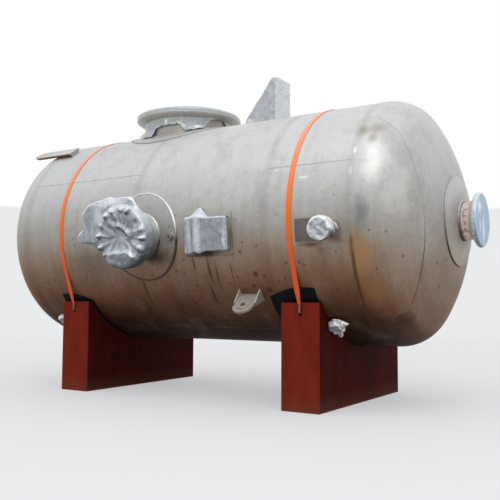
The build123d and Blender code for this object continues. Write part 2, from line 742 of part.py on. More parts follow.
cradle(RIGHT_CRADLE, "right", RIGHT_CRADLE + RIGHT_STRAP_SHIFT)
cradle(LEFT_CRADLE, "left", LEFT_CRADLE + LEFT_STRAP_SHIFT)
mat(RIGHT_CRADLE, RIGHT_MAT_LEFT_L, RIGHT_MAT_RIGHT_L, RIGHT_MAT_ANGLES, "right")
mat(LEFT_CRADLE, LEFT_MAT_LEFT_L, LEFT_MAT_RIGHT_L, LEFT_MAT_ANGLES, "left")
strap(RIGHT_CRADLE + RIGHT_STRAP_SHIFT, "right")
strap(LEFT_CRADLE + LEFT_STRAP_SHIFT, "left")
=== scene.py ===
"""Looks of the vapour separator: finishes, weld seams, film wraps, webbing, mats and studio."""

import logging
import math
import random
from dataclasses import dataclass, field
from enum import Enum
from typing import Any, Callable, Iterable, Mapping, Sequence

import bmesh
import bpy
from bmesh.types import BMesh
from bpy.types import Material, Node, NodeSocket, NodeTree, Object
from mathutils import Matrix, Vector, noise

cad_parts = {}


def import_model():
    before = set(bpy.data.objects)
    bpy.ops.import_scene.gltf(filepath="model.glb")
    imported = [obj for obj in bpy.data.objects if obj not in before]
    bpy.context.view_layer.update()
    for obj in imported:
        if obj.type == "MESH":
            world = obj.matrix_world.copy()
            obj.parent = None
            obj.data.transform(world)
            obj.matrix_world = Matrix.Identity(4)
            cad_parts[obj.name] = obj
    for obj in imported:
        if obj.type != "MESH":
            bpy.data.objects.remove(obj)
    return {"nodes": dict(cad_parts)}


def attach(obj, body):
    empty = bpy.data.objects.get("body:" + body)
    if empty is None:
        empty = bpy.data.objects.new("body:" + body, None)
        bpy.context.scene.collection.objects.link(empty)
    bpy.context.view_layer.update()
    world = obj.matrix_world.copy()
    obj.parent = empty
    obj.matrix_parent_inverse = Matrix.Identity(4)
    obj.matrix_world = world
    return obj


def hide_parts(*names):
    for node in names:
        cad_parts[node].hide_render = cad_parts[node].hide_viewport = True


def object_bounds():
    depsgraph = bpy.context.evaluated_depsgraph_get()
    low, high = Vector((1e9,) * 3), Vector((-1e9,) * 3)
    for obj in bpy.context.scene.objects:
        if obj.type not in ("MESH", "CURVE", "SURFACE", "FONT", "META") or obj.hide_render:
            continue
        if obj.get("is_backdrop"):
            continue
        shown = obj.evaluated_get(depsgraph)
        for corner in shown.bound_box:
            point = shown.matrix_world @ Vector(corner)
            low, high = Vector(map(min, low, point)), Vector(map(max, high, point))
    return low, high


log = logging.getLogger("vapour_separator")

BODY = "root"
AXIS_Z = 1.768
SHELL_R = 1.2
FULL_TURN = math.tau
Point = tuple[float, float]
Feed = Node | NodeSocket
# A Mix node's inputs for the colour under and the colour over, and its soft light setting.
UNDER, OVER = 6, 7
SOFT = {"data_type": "RGBA", "blend_type": "SOFT_LIGHT"}
# How much a weld bead's width varies, and how fast along it.
BEAD_SWELL = 0.16
BEAD_RATE = 23.0


class Slot(Enum):
    """Material slots of the record, one handed to each piece."""

    SHELL = "shell_steel"
    FITTING = "fitting_steel"
    PAD = "pad_steel"
    FILM = "film"
    CLEAR_FILM = "clear_film"
    RUBBER = "mat_rubber"
    WEBBING = "webbing"


class Held(Enum):
    """How a sheet is held."""

    STRETCHED = "stretched"
    GATHERED = "gathered"
    LAID = "laid"


def linear(code: str) -> tuple[float, float, float, float]:
    """Turn an sRGB hex colour to linear light.

    Args:
        code: colour such as "#A0B1C2".

    Returns:
        Red, green, blue and an alpha of 1.
    """
    shares = [int(code[i : i + 2], 16) / 255 for i in (1, 3, 5)]
    red, green, blue = (v / 12.92 if v <= 0.04045 else ((v + 0.055) / 1.055) ** 2.4 for v in shares)
    return (red, green, blue, 1.0)


def feed(tree: NodeTree, node: Node, links: Mapping[Any, Any]) -> None:
    """Feed a node's inputs.

    Args:
        tree: its node tree.
        node: the node.
        links: input name or number to the node, socket or constant that feeds it. A node stands
            for its first output in use.
    """
    for key, value in links.items():
        if isinstance(value, Node):
            value = next(socket for socket in value.outputs if socket.enabled)
        if isinstance(value, NodeSocket):
            tree.links.new(value, node.inputs[key])
        else:
            node.inputs[key].default_value = value


def add(
    tree: NodeTree, kind: str, links: Mapping[Any, Any] | None = None,
    stops: Sequence[tuple[float, str]] = (), **settings: Any,
) -> Node:
    """Add a node with its settings and links.

    Args:
        tree: node tree that gets the node.
        kind: node type without its "ShaderNode" prefix.
        links: what feeds its inputs, as in feed().
        stops: place and hex colour of each stop, for a colour ramp.
        settings: attributes of the node.

    Returns:
        The new node.
    """
    node = tree.nodes.new("ShaderNode" + kind)
    for name, value in settings.items():
        setattr(node, name, value)
    feed(tree, node, links or {})
    for index, (place, code) in enumerate(stops):
        elements = node.color_ramp.elements
        stop = elements[index] if index < 2 else elements.new(place)
        stop.position = place
        stop.color = linear(code)
    return node


@dataclass(frozen=True)
class Finish:
    """A surface finish; each kind paints its own node tree."""

    name: str

    def material(self) -> Material:
        """Give this finish's material, made at the first call."""
        found = bpy.data.materials.get(self.name)
        if found:
            return found
        made = bpy.data.materials.new(self.name)
        made.use_nodes = True
        self.paint(made.node_tree, made.node_tree.nodes["Principled BSDF"])
        return made

    def paint(self, tree: NodeTree, shader: Node) -> None:
        """Fill the node tree.

        Args:
            tree: the material's node tree.
            shader: its Principled BSDF.
        """
        raise NotImplementedError


@dataclass(frozen=True)
class Stain:
    """A soft-edged mark on the vessel; the marks are stains, painted shadows and painted highlights.
    """

    at: tuple[float, float, float]
    reach: tuple[float, float, float]
    colour: str
    strength: float

    def lay(self, tree: NodeTree, place: Feed, ragged: Feed, colour: Feed) -> Feed:
        """Lay the mark over a colour.

        Args:
            tree: the material's node tree.
            place: object position.
            ragged: noise that frays its edge.
            colour: the colour under the mark.

        Returns:
            The colour with the mark.
        """
        scale = tuple(1.0 / r for r in self.reach)
        middle = tuple(-a * s for a, s in zip(self.at, scale))
        moved = add(tree, "Mapping", {"Vector": place, "Location": middle, "Scale": scale})
        far = add(tree, "VectorMath", {0: moved}, operation="LENGTH")
        edge = add(tree, "Math", {0: ragged, 1: 2.0, 2: far}, operation="MULTIPLY_ADD")
        amount = add(
            tree, "MapRange",
            {"Value": edge, "From Min": 1.95, "From Max": 1.25, "To Max": self.strength},
        )
        return add(
            tree, "Mix", {0: amount, UNDER: colour, OVER: linear(self.colour)}, data_type="RGBA"
        )


SPECKS = tuple(
    Stain(at, (reach, 0.06, reach), "#35261D", 0.75)
    for at, reach in (
        ((-0.535, -1.160, 1.459), 0.026), ((-0.405, -1.084, 1.254), 0.036),
        ((-0.463, -1.025, 1.144), 0.028), ((-0.309, -1.007, 1.115), 0.038),
        ((-0.500, -1.180, 1.550), 0.020), ((-1.128, -1.028, 1.149), 0.024),
        ((-0.323, -1.075, 1.235), 0.018),
    )
)
# The plate's marks: specks, stains, drips and chalk, with painted shadows, painted shade and painted
# highlights among them.
STAINS = SPECKS + (
    Stain((0.665, -1.14, 1.420), (0.115, 0.40, 0.330), "#A0784B", 0.75),
    Stain((0.720, -1.00, 1.100), (0.130, 0.34, 0.260), "#8A603B", 0.60),
    Stain((0.690, -1.17, 1.750), (0.090, 0.24, 0.230), "#727978", 0.80),
    Stain((0.613, -0.93, 2.515), (0.080, 0.18, 0.120), "#7C7564", 0.60),
    Stain((0.745, -0.90, 2.530), (0.140, 0.22, 0.110), "#8D8675", 0.65),
    Stain((0.725, -0.98, 2.430), (0.060, 0.12, 0.080), "#8F8A7E", 0.60),
    Stain((0.598, -0.95, 1.150), (0.024, 0.60, 0.660), "#4A301D", 0.80),
    Stain((0.790, -0.785, 0.921), (0.080, 0.11, 0.080), "#80392B", 0.60),
    Stain((0.850, -0.66, 0.810), (0.190, 0.32, 0.150), "#26150F", 0.75),
    # Painted shadow under the box, then painted shade and dirt on the pad's margin to its right.
    Stain((-0.885, -1.17, 1.462), (0.340, 0.20, 0.050), "#2A1B14", 0.92),
    Stain((-0.618, -1.17, 1.620), (0.030, 0.20, 0.200), "#64564A", 0.65),
    Stain((-1.095, -1.13, 1.370), (0.020, 0.30, 0.130), "#3C2A20", 0.70),
    Stain((-0.925, -1.10, 1.300), (0.024, 0.40, 0.180), "#35251B", 0.80),
    Stain((-0.958, -0.97, 1.070), (0.022, 0.40, 0.180), "#35251B", 0.75),
    Stain((-0.843, -1.07, 1.240), (0.020, 0.40, 0.230), "#3C2A20", 0.60),
    Stain((-0.667, -1.10, 1.290), (0.020, 0.30, 0.160), "#3C2A20", 0.55),
    Stain((-1.800, -0.98, 1.090), (0.024, 0.40, 0.200), "#3A281D", 0.65),
    # Painted shadow under the clip plate.
    Stain((0.215, -1.16, 1.500), (0.160, 0.20, 0.036), "#543020", 0.85),
    Stain((0.300, -1.15, 1.450), (0.060, 0.20, 0.050), "#5C4737", 0.50),
    # Painted shade at the right of the small nozzle's film tail.
    Stain((0.430, -1.16, 1.540), (0.110, 0.20, 0.060), "#6A4A3A", 0.60),
    # Painted shadow under the manway's neck at its lower right.
    Stain((-1.560, -1.17, 1.450), (0.150, 0.25, 0.100), "#2A1B13", 0.85),
    Stain((-2.450, -1.12, 1.400), (0.500, 0.35, 0.260), "#5E564D", 0.50),
    # Painted highlights on the right head.
    Stain((0.790, -1.06, 2.200), (0.130, 0.30, 0.300), "#F4F1EC", 0.60),
    Stain((0.930, -0.98, 1.940), (0.150, 0.30, 0.280), "#DEDCD8", 0.45),
    # Painted shadow under the manway.
    Stain((-1.450, -1.17, 1.420), (0.190, 0.25, 0.110), "#4A382D", 0.45),
    Stain((0.128, -1.153, 2.110), (0.060, 0.06, 0.016), "#EDEDEA", 0.75),
    Stain((-0.170, -1.119, 2.205), (0.050, 0.06, 0.018), "#E6E6E2", 0.60),
    Stain((0.593, -1.067, 2.317), (0.020, 0.06, 0.050), "#F2F1EC", 0.80),
    Stain((0.583, -1.140, 2.130), (0.020, 0.06, 0.060), "#E9E8E2", 0.60),
)


# Pickled stainless plate: satin grey, faint rolling grain round the shell, weather stains. Painted
# shade and reflection make it pale on faces that look up and deepen it to brown on faces that look
# down.
@dataclass(frozen=True)
class RolledStainless(Finish):
    """Hot-rolled, pickled stainless plate that has stood outdoors."""

    shade: float = 1.0
    seams: tuple[float, ...] = ()
    marks: tuple[Stain, ...] = ()

    def paint(self, tree: NodeTree, shader: Node) -> None:
        """Lay painted shade and reflection by the way a face looks, then grain, specks, seam tint and
        marks.
        """
        coords = add(tree, "TexCoord").outputs
        at = coords["Object"]
        facing = add(tree, "SeparateXYZ", {0: coords["Normal"]}).outputs[2]
        stretch = add(tree, "Mapping", {"Vector": at, "Scale": (11.0, 0.9, 0.9)})
        bands = add(
            tree, "TexNoise", {"Vector": stretch, "Scale": 1.0, "Detail": 4.0, "Roughness": 0.6}
        )
        cloud = add(tree, "TexNoise", {"Vector": at, "Scale": 1.9, "Detail": 6.0, "Roughness": 0.62})
        mottle = add(
            tree, "TexNoise", {"Vector": at, "Scale": 22.0, "Detail": 6.0, "Roughness": 0.78}
        )
        # Painted shade and reflection: the tone follows how far a face looks up, made uneven by the
        # cloud and band noise.
        look: Feed = facing
        for pattern, rate in ((cloud, 0.26), (bands, 0.12)):
            drift = add(tree, "Math", {0: pattern, 1: rate, 2: -rate / 2}, operation="MULTIPLY_ADD")
            look = add(tree, "Math", {0: look, 1: drift}, operation="ADD")
        look = add(tree, "MapRange", {"Value": look, "From Min": -1.0, "From Max": 1.0})
        tone = add(
            tree, "ValToRGB", {0: look},
            stops=[
                (0.0, "#200F07"), (1.0, "#D0D0D1"), (0.10, "#442819"), (0.20, "#65452F"),
                (0.29, "#7D614C"), (0.37, "#907D6C"), (0.43, "#9D958B"), (0.48, "#A5A29D"),
                (0.54, "#B0AFAC"), (0.62, "#BDBEBD"), (0.74, "#CCCDCD"),
            ],
        )
        for share, pattern in ((0.50, mottle), (0.16, bands)):
            tone = add(tree, "Mix", {0: share, UNDER: tone, OVER: pattern}, **SOFT)
        stained = self.stains(tree, at, facing, tone)
        shaded = add(
            tree, "Mix", {0: 1.0, UNDER: stained, OVER: (self.shade, self.shade, self.shade, 1.0)},
            data_type="RGBA", blend_type="MULTIPLY",
        )
        gloss = add(
            tree, "MapRange",
            {"Value": mottle, "From Min": 0.3, "From Max": 0.7, "To Min": 0.50, "To Max": 0.64},
        )
        dents = add(tree, "Bump", {"Height": cloud, "Distance": 0.012, "Strength": 0.35})
        fine = add(
            tree, "Bump", {"Height": mottle, "Distance": 0.002, "Strength": 0.35, "Normal": dents}
        )
        feed(
            tree, shader,
            {
                "Base Color": shaded, "Roughness": gloss, "Metallic": 0.45, "Specular IOR Level": 0.2,
                "Normal": fine,
            },
        )

    def stains(self, tree: NodeTree, at: Feed, facing: Feed, colour: Feed) -> Feed:
        """Lay patchy dirt, specks and, where asked, the tint along seams and the marks, among which
        are painted shadows and painted highlights.

        Args:
            tree: the material's node tree.
            at: object position.
            facing: how much a face looks up.
            colour: the clean plate's colour.

        Returns:
            The colour with its stains and painted light.
        """
        patch = add(
            tree, "TexNoise",
            {"Vector": at, "Scale": 3.1, "Detail": 7.0, "Roughness": 0.68, "Distortion": 0.4},
        )
        cover = add(
            tree, "MapRange", {"Value": patch, "From Min": 0.50, "From Max": 0.72, "To Max": 0.26}
        )
        colour = add(
            tree, "Mix", {0: cover, UNDER: colour, OVER: linear("#857A6E")}, data_type="RGBA"
        )
        spots = add(tree, "TexVoronoi", {"Vector": at, "Scale": 8.5, "Randomness": 1.0})
        dot = add(tree, "MapRange", {"Value": spots, "From Min": 0.17, "From Max": 0.04})
        low = add(
            tree, "MapRange",
            {"Value": facing, "From Min": 0.25, "From Max": -0.30, "To Min": 0.15, "To Max": 1.40},
        )
        dirt = add(tree, "Math", {0: patch, 1: low}, operation="MULTIPLY")
        speck = add(tree, "Math", {0: dot, 1: dirt}, operation="MULTIPLY")
        colour = add(
            tree, "Mix", {0: speck, UNDER: colour, OVER: linear("#32241B")}, data_type="RGBA"
        )
        along = add(tree, "SeparateXYZ", {0: at}).outputs[0]
        nearest: Feed | None = None
        for seam in self.seams:
            gap = add(tree, "Math", {0: along, 1: seam}, operation="SUBTRACT")
            gap = add(tree, "Math", {0: gap}, operation="ABSOLUTE")
            if nearest is not None:
                gap = add(tree, "Math", {0: nearest, 1: gap}, operation="MINIMUM")
            nearest = gap
        if nearest is not None:
            edge = add(tree, "Math", {0: patch, 1: -0.06, 2: nearest}, operation="MULTIPLY_ADD")
            tint = add(
                tree, "MapRange", {"Value": edge, "From Min": 0.03, "From Max": -0.01, "To Max": 0.13}
            )
            colour = add(
                tree, "Mix", {0: tint, UNDER: colour, OVER: linear("#A08F7E")}, data_type="RGBA",
                blend_type="MULTIPLY",
            )
        for mark in self.marks:
            colour = mark.lay(tree, at, patch, colour)
        return colour


# Ground and machined stainless: brighter and smoother than the plate, with fine tool grain; painted
# shade darkens it on faces that look down.
@dataclass(frozen=True)
class GroundStainless(Finish):
    """Machined or ground stainless of flanges, necks, lugs and weld beads."""

    colour: str = "#B4B5B4"
    low: str = "#5A4738"
    roughness: float = 0.38
    grain: float = 0.024
    dirt: Point = (-1.0, -2.0)

    def paint(self, tree: NodeTree, shader: Node) -> None:
        """Paint tool grain, and painted shade on faces that look down and below a given height."""
        coords = add(tree, "TexCoord").outputs
        facing = add(tree, "SeparateXYZ", {0: coords["Normal"]}).outputs[2]
        scratch = add(
            tree, "TexNoise", {"Vector": coords["Object"], "Scale": 1.0 / self.grain, "Detail": 6.0}
        )
        # Painted shade: darker on faces that look down and, where a height range is given, below it.
        down = add(tree, "MapRange", {"Value": facing, "From Min": 0.15, "From Max": -0.75})
        height = add(tree, "SeparateXYZ", {0: coords["Object"]}).outputs[2]
        below = add(
            tree, "MapRange", {"Value": height, "From Min": self.dirt[0], "From Max": self.dirt[1]}
        )
        down = add(tree, "Math", {0: down, 1: below}, operation="MAXIMUM")
        tone = add(
            tree, "Mix", {0: down, UNDER: linear(self.colour), OVER: linear(self.low)},
            data_type="RGBA",
        )
        worn = add(tree, "Mix", {0: 0.5, UNDER: tone, OVER: scratch}, **SOFT)
        bump = add(tree, "Bump", {"Height": scratch, "Distance": 0.0015, "Strength": 0.5})
        feed(
            tree, shader,
            {"Base Color": worn, "Metallic": 0.6, "Roughness": self.roughness, "Normal": bump},
        )


# Wrapping film: thin silver-grey polythene, pulled tight and knotted, over a soft grey sheen. Its
# paler faces that look up, darker faces that look down, bright ridges and dark creases are painted
# light and shade.
@dataclass(frozen=True)
class WrappingFilm(Finish):
    """Silver-grey polythene stretch film."""

    high: str = "#E9EDF2"
    side: str = "#A8AEB5"
    low: str = "#4C5156"
    roughness: float = 0.28
    crease_mm: float = 26.0
    edge: float = 0.75
    marks: tuple[Stain, ...] = ()

    def paint(self, tree: NodeTree, shader: Node) -> None:
        """Paint silver grey with painted reflection, paler on folds that face up, painted shade in
        creases, painted highlights on ridges, and crinkles.
        """
        coords = add(tree, "TexCoord").outputs
        facing = add(tree, "SeparateXYZ", {0: coords["Normal"]}).outputs[2]
        wrinkle = add(
            tree, "TexNoise",
            {
                "Vector": coords["Object"], "Scale": 500.0 / self.crease_mm, "Detail": 4.0,
                "Roughness": 0.6, "Distortion": 0.8,
            },
            noise_type="RIDGED_MULTIFRACTAL",
        )
        crinkle = add(
            tree, "TexNoise",
            {
                "Vector": coords["Object"], "Scale": 1400.0 / self.crease_mm, "Detail": 4.0,
                "Distortion": 1.2,
            },
        )
        # Painted reflection and shade: paler where the film faces up, darker where it faces down.
        look = add(tree, "MapRange", {"Value": facing, "From Min": -1.0, "From Max": 1.0})
        tone = add(
            tree, "ValToRGB", {0: look},
            stops=[(0.12, self.low), (0.92, self.high), (0.50, self.side)],
        )
        # Painted shade in hollow creases and painted highlights on sharp ridges, from the mesh's
        # pointiness.
        shape = add(tree, "NewGeometry")
        fold = add(
            tree, "ValToRGB", {0: shape.outputs["Pointiness"]},
            stops=[(0.44, "#303336"), (0.56, "#FFFFFF"), (0.50, "#BCBCBC")],
        )
        colour: Feed = add(
            tree, "Mix", {0: self.edge, UNDER: tone, OVER: fold}, data_type="RGBA",
            blend_type="OVERLAY",
        )
        for share, pattern in ((0.35, wrinkle), (0.40, crinkle)):
            colour = add(tree, "Mix", {0: share, UNDER: colour, OVER: pattern}, **SOFT)
        for mark in self.marks:
            colour = mark.lay(tree, coords["Object"], crinkle, colour)
        bump = add(tree, "Bump", {"Height": wrinkle, "Distance": 0.006, "Strength": 0.6})
        small = add(
            tree, "Bump", {"Height": crinkle, "Distance": 0.004, "Strength": 0.5, "Normal": bump}
        )
        feed(
            tree, shader,
            {"Base Color": colour, "Metallic": 0.25, "Roughness": self.roughness, "Normal": small},
        )


# Self-adhesive brown paper tape: dull, slightly ribbed along its edge.
@dataclass(frozen=True)
class PaperTape(Finish):
    """Brown masking tape round a neck."""

    def paint(self, tree: NodeTree, shader: Node) -> None:
        """Paint dull brown paper with scuffs."""
        coords = add(tree, "TexCoord").outputs
        scuff = add(tree, "TexNoise", {"Vector": coords["Object"], "Scale": 24.0, "Detail": 5.0})
        tone = add(tree, "ValToRGB", {0: scuff}, stops=[(0.34, "#9A7466"), (0.52, "#D2C3BC")])
        feed(tree, shader, {"Base Color": tone, "Roughness": 0.75})


# Red oxide primer, brushed on mild steel: matt, uneven in depth, chalky where it has weathered.
@dataclass(frozen=True)
class RedOxide(Finish):
    """Red oxide primer on the cradles."""

    high: str = "#7A2616"
    deep: str = "#641B0F"

    def paint(self, tree: NodeTree, shader: Node) -> None:
        """Paint brushed primer with dirt towards the foot and rubbed spots."""
        coords = add(tree, "TexCoord").outputs
        height = add(tree, "SeparateXYZ", {0: coords["Object"]}).outputs[2]
        brush = add(tree, "Mapping", {"Vector": coords["Object"], "Scale": (7.0, 7.0, 3.0)})
        stroke = add(
            tree, "TexNoise", {"Vector": brush, "Scale": 1.0, "Detail": 6.0, "Roughness": 0.65}
        )
        tone = add(tree, "ValToRGB", {0: stroke}, stops=[(0.30, self.deep), (0.72, self.high)])
        rubbed = add(
            tree, "TexNoise",
            {"Vector": coords["Object"], "Scale": 31.0, "Detail": 8.0, "Roughness": 0.75},
        )
        bare = add(
            tree, "MapRange", {"Value": rubbed, "From Min": 0.66, "From Max": 0.76, "To Max": 0.3}
        )
        worn = add(tree, "Mix", {0: bare, UNDER: tone, OVER: linear("#8C5B46")}, data_type="RGBA")
        foot = add(
            tree, "MapRange", {"Value": height, "From Min": 0.16, "From Max": 0.0, "To Max": 0.35}
        )
        dusty = add(tree, "Mix", {0: foot, UNDER: worn, OVER: linear("#6B4A3C")}, data_type="RGBA")
        bump = add(tree, "Bump", {"Height": stroke, "Distance": 0.002, "Strength": 0.4})
        feed(
            tree, shader,
            {"Base Color": dusty, "Roughness": 0.85, "Specular IOR Level": 0.1, "Normal": bump},
        )


# Insertion rubber: matt black with a grey bloom of dust.
@dataclass(frozen=True)
class BlackRubber(Finish):
    """Black rubber sheet."""

    def paint(self, tree: NodeTree, shader: Node) -> None:
        """Paint black rubber with dust in patches."""
        coords = add(tree, "TexCoord").outputs
        dust = add(tree, "TexNoise", {"Vector": coords["Object"], "Scale": 12.0, "Detail": 6.0})
        tone = add(tree, "ValToRGB", {0: dust}, stops=[(0.40, "#050507"), (0.80, "#131316")])
        bump = add(tree, "Bump", {"Height": dust, "Distance": 0.002, "Strength": 0.4})
        feed(
            tree, shader,
            {"Base Color": tone, "Roughness": 0.7, "Specular IOR Level": 0.12, "Normal": bump},
        )


# Polyester lashing webbing: woven in a close rib, orange; painted light and shade make it paler the
# more a face looks up.
@dataclass(frozen=True)
class Webbing(Finish):
    """Orange polyester webbing, its weave on the strap's own UV map in metres."""

    rib_mm: float = 6.0

    def paint(self, tree: NodeTree, shader: Node) -> None:
        """Paint ribs across the strap, drawn coarser than the real 2 mm so that they show."""
        coords = add(tree, "TexCoord").outputs
        facing = add(tree, "SeparateXYZ", {0: coords["Normal"]}).outputs[2]
        across = add(tree, "SeparateXYZ", {0: coords["UV"]})
        rate = FULL_TURN * 1000.0 / self.rib_mm
        waves = []
        for axis in (0, 1):
            turn = add(tree, "Math", {0: across.outputs[axis], 1: rate}, operation="MULTIPLY")
            waves.append(add(tree, "Math", {0: turn}, operation="SINE"))
        weave = add(tree, "Math", {0: waves[0], 1: waves[1]}, operation="MULTIPLY")
        weave = add(tree, "MapRange", {"Value": weave, "From Min": -1.0})
        # Painted light and shade: paler on faces that look up, deeper orange on faces that look down.
        fade = add(tree, "MapRange", {"Value": facing, "From Min": -0.35, "From Max": 0.95})
        tone = add(
            tree, "ValToRGB", {0: fade},
            stops=[(0.0, "#D04A02"), (1.0, "#FFB59B"), (0.35, "#F0700C"), (0.6, "#FC8C4E")],
        )
        cloth = add(tree, "Mix", {0: 0.20, UNDER: tone, OVER: weave}, **SOFT)
        bump = add(tree, "Bump", {"Height": weave, "Distance": 0.0006, "Strength": 0.7})
        feed(
            tree, shader, {"Base Color": cloth, "Roughness": 0.8, "Sheen Weight": 0.1, "Normal": bump}
        )


# Studio floor: plain matt grey that partly lights itself for the camera, so it stays even, and
# thins out to nothing before its rim.
@dataclass(frozen=True)
class StudioFloor(Finish):
    """Pale matt floor that thins out to nothing far from the object."""

    colour: str = "#EAEBED"
    fade_from: float = 7.0
    fade_to: float = 16.0
    plain: float = 0.5

    def paint(self, tree: NodeTree, shader: Node) -> None:
        """Paint plain grey, transparent towards the rim."""
        coords = add(tree, "TexCoord").outputs
        reach = add(tree, "VectorMath", {0: coords["Object"]}, operation="LENGTH")
        thin = add(
            tree, "MapRange",
            {
                "Value": reach, "From Min": self.fade_from, "From Max": self.fade_to, "To Min": 1.0,
                "To Max": 0.0,
            },
        )
        feed(tree, shader, {"Base Color": linear(self.colour), "Roughness": 0.9, "Alpha": thin})
        path = add(tree, "LightPath")
        glow = add(tree, "Math", {0: path.outputs[0], 1: self.plain}, operation="MULTIPLY")
        even = add(tree, "Emission", {0: linear(self.colour), 1: 1.0})
        clear = add(tree, "BsdfTransparent")
        shown = add(tree, "MixShader", {0: thin, 1: clear, 2: even})
        mixed = add(tree, "MixShader", {0: glow, 1: shader, 2: shown})
        feed(tree, tree.nodes["Material Output"], {0: mixed})


SEAM_X = (-3.45, -1.83, -0.266, 0.58)
SHELL_PLATE = RolledStainless("pickled_stainless_plate", seams=SEAM_X, marks=STAINS)
PAD_PLATE = RolledStainless("stainless_pad_plate", shade=0.97, marks=STAINS)
# The crown pad is a lighter copy of the plate: painted light that lifts the shade on the crown.
END_PLATE = RolledStainless("stainless_crown_pad", shade=1.22)
DULL_PLATE = RolledStainless("dull_stainless_plate", shade=0.40)
CHORD_STAIN = Stain((1.030, -0.670, 1.260), (0.500, 0.160, 0.560), "#4C3B2E", 0.90)
WELD_METAL = RolledStainless("stainless_weld_metal", shade=0.90, marks=(*STAINS, CHORD_STAIN))
# Painted shade: the bright beads round the manway darken from height 1.76 down to 1.60 and on faces
# that look down.
SEAL_BEAD = GroundStainless(
    "bright_weld_bead", colour="#E4E4E2", low="#4A372B", roughness=0.30, dirt=(1.76, 1.60)
)
CREST_BEAD = GroundStainless("dull_weld_bead", colour="#BDBDBA", low="#A09D96", roughness=0.5)
LUG_STEEL = GroundStainless("pale_lug_plate", colour="#C2BBB2", low="#6E655C", roughness=0.5)
BRIGHT_STEEL = GroundStainless("ground_stainless")
NECK_STEEL = GroundStainless("stainless_neck", colour="#A8A69E", low="#6A5D50", roughness=0.45)
# The hooks' dark red lower faces are painted shade.
HOOK_STEEL = GroundStainless("rusted_hook_steel", colour="#9A7568", low="#4E211B", roughness=0.5)
# The manway film's marks are painted light: highlights on the pocket's top and folds, painted shade
# in its hollows and along its lower edge.
SILVER_FILM = WrappingFilm(
    "silver_stretch_film", edge=0.6,
    marks=(
        Stain((-1.900, -1.45, 1.985), (0.340, 0.30, 0.080), "#E6EAF1", 0.75),
        Stain((-2.050, -1.42, 1.870), (0.090, 0.30, 0.100), "#DDE2EA", 0.60),
        Stain((-2.180, -1.42, 1.800), (0.040, 0.30, 0.120), "#7F858C", 0.55),
        Stain((-1.480, -1.30, 1.780), (0.060, 0.20, 0.160), "#DDE2E9", 0.60),
        Stain((-1.720, -1.52, 1.440), (0.150, 0.20, 0.040), "#6F767C", 0.55),
        Stain((-1.550, -1.51, 1.705), (0.050, 0.12, 0.038), "#5F656B", 0.65),
        Stain((-1.925, -1.52, 1.700), (0.040, 0.12, 0.048), "#666C72", 0.55),
        Stain((-1.690, -1.54, 1.612), (0.080, 0.12, 0.034), "#CACACC", 0.60),
    ),
)
# The box film's marks are painted light: highlights on its pleats and right edge, painted shade in
# one crease.
BOX_FILM = WrappingFilm(
    "box_stretch_film", side="#A5ABB2", edge=0.6,
    marks=(
        Stain((-0.962, -1.26, 1.640), (0.055, 0.30, 0.260), "#E2E5E9", 0.75),
        Stain((-1.055, -1.26, 1.640), (0.040, 0.30, 0.300), "#C9CDD1", 0.60),
        Stain((-1.020, -1.26, 1.650), (0.016, 0.30, 0.160), "#6D7174", 0.70),
        Stain((-0.660, -1.26, 1.560), (0.026, 0.30, 0.050), "#E8DFD2", 0.80),
        Stain((-0.650, -1.26, 1.640), (0.020, 0.30, 0.240), "#C6CBCF", 0.60),
    ),
)
PALE_FILM = WrappingFilm(
    "pale_stretch_film", high="#FBFCFE", side="#C6C9CF", low="#5A585A", crease_mm=34.0, edge=1.0
)
WHITE_FILM = WrappingFilm("white_stretch_film", high="#FFFFFF", side="#E6E8EC", low="#A3A0A2")
GREY_FILM = WrappingFilm(
    "grey_stretch_film", high="#D4D8DC", side="#B9BDC1", low="#7A7E82", crease_mm=32.0, edge=0.12,
    marks=(
        # Painted light on the bracket's face that looks along +X.
        Stain((-0.712, 0.00, 3.200), (0.045, 0.60, 0.70), "#E3E6EA", 0.70),
        Stain((-1.060, -0.12, 3.000), (0.070, 0.10, 0.030), "#F0F2F5", 0.80),
    ),
)
CREST_FILM = WrappingFilm(
    "weathered_stretch_film", high="#BFC3C6", side="#B4B8BA", low="#B9B7B0", edge=0.5,
    marks=(
        # Painted highlights on the torn film's peaks.
        Stain((-1.965, -0.52, 3.035), (0.024, 0.05, 0.034), "#FFFFFF", 0.90),
        Stain((-1.634, -0.35, 2.965), (0.060, 0.09, 0.024), "#F4F6F8", 0.90),
    ),
)
BLUE_FILM = WrappingFilm(
    "blue_tint_film", high="#D3DEE8", side="#9FBBD0", low="#5F6C78", crease_mm=50.0,
    marks=(
        Stain((1.400, -0.120, 1.880), (0.080, 0.080, 0.090), "#F4F8FA", 0.90),
        Stain((1.400, 0.020, 1.680), (0.080, 0.050, 0.150), "#EAF1F6", 0.85),
        Stain((1.400, -0.100, 1.700), (0.080, 0.035, 0.070), "#DCE8F0", 0.80),
        Stain((1.400, 0.130, 1.830), (0.080, 0.060, 0.120), "#7FAECB", 0.70),
        Stain((1.350, 0.000, 1.768), (0.045, 0.800, 0.800), "#DED6D2", 0.90),
    ),
)
TAPE = PaperTape("brown_paper_tape")
CRADLE_FRONT = RedOxide("red_oxide_primer")
# A darker copy of the primer for the webs, saddle and horns: painted shade under the vessel's
# overhang.
CRADLE_SIDE = RedOxide("red_oxide_primer_shaded", high="#4A0D04", deep="#2E0803")
RUBBER = BlackRubber("insertion_rubber")
STRAP_WEB = Webbing("orange_polyester_webbing")
GASKET = BlackRubber("gasket_sheet")


def framed(
    x_dir: Sequence[float], y_dir: Sequence[float], z_dir: Sequence[float], at: Sequence[float]
) -> Matrix:
    """Give a frame from its axes and its origin.

    Args:
        x_dir: its X axis.
        y_dir: its Y axis.
        z_dir: its Z axis.
        at: its origin.

    Returns:
        The matrix.
    """
    return Matrix.Translation(at) @ Matrix((x_dir, y_dir, z_dir)).transposed().to_4x4()


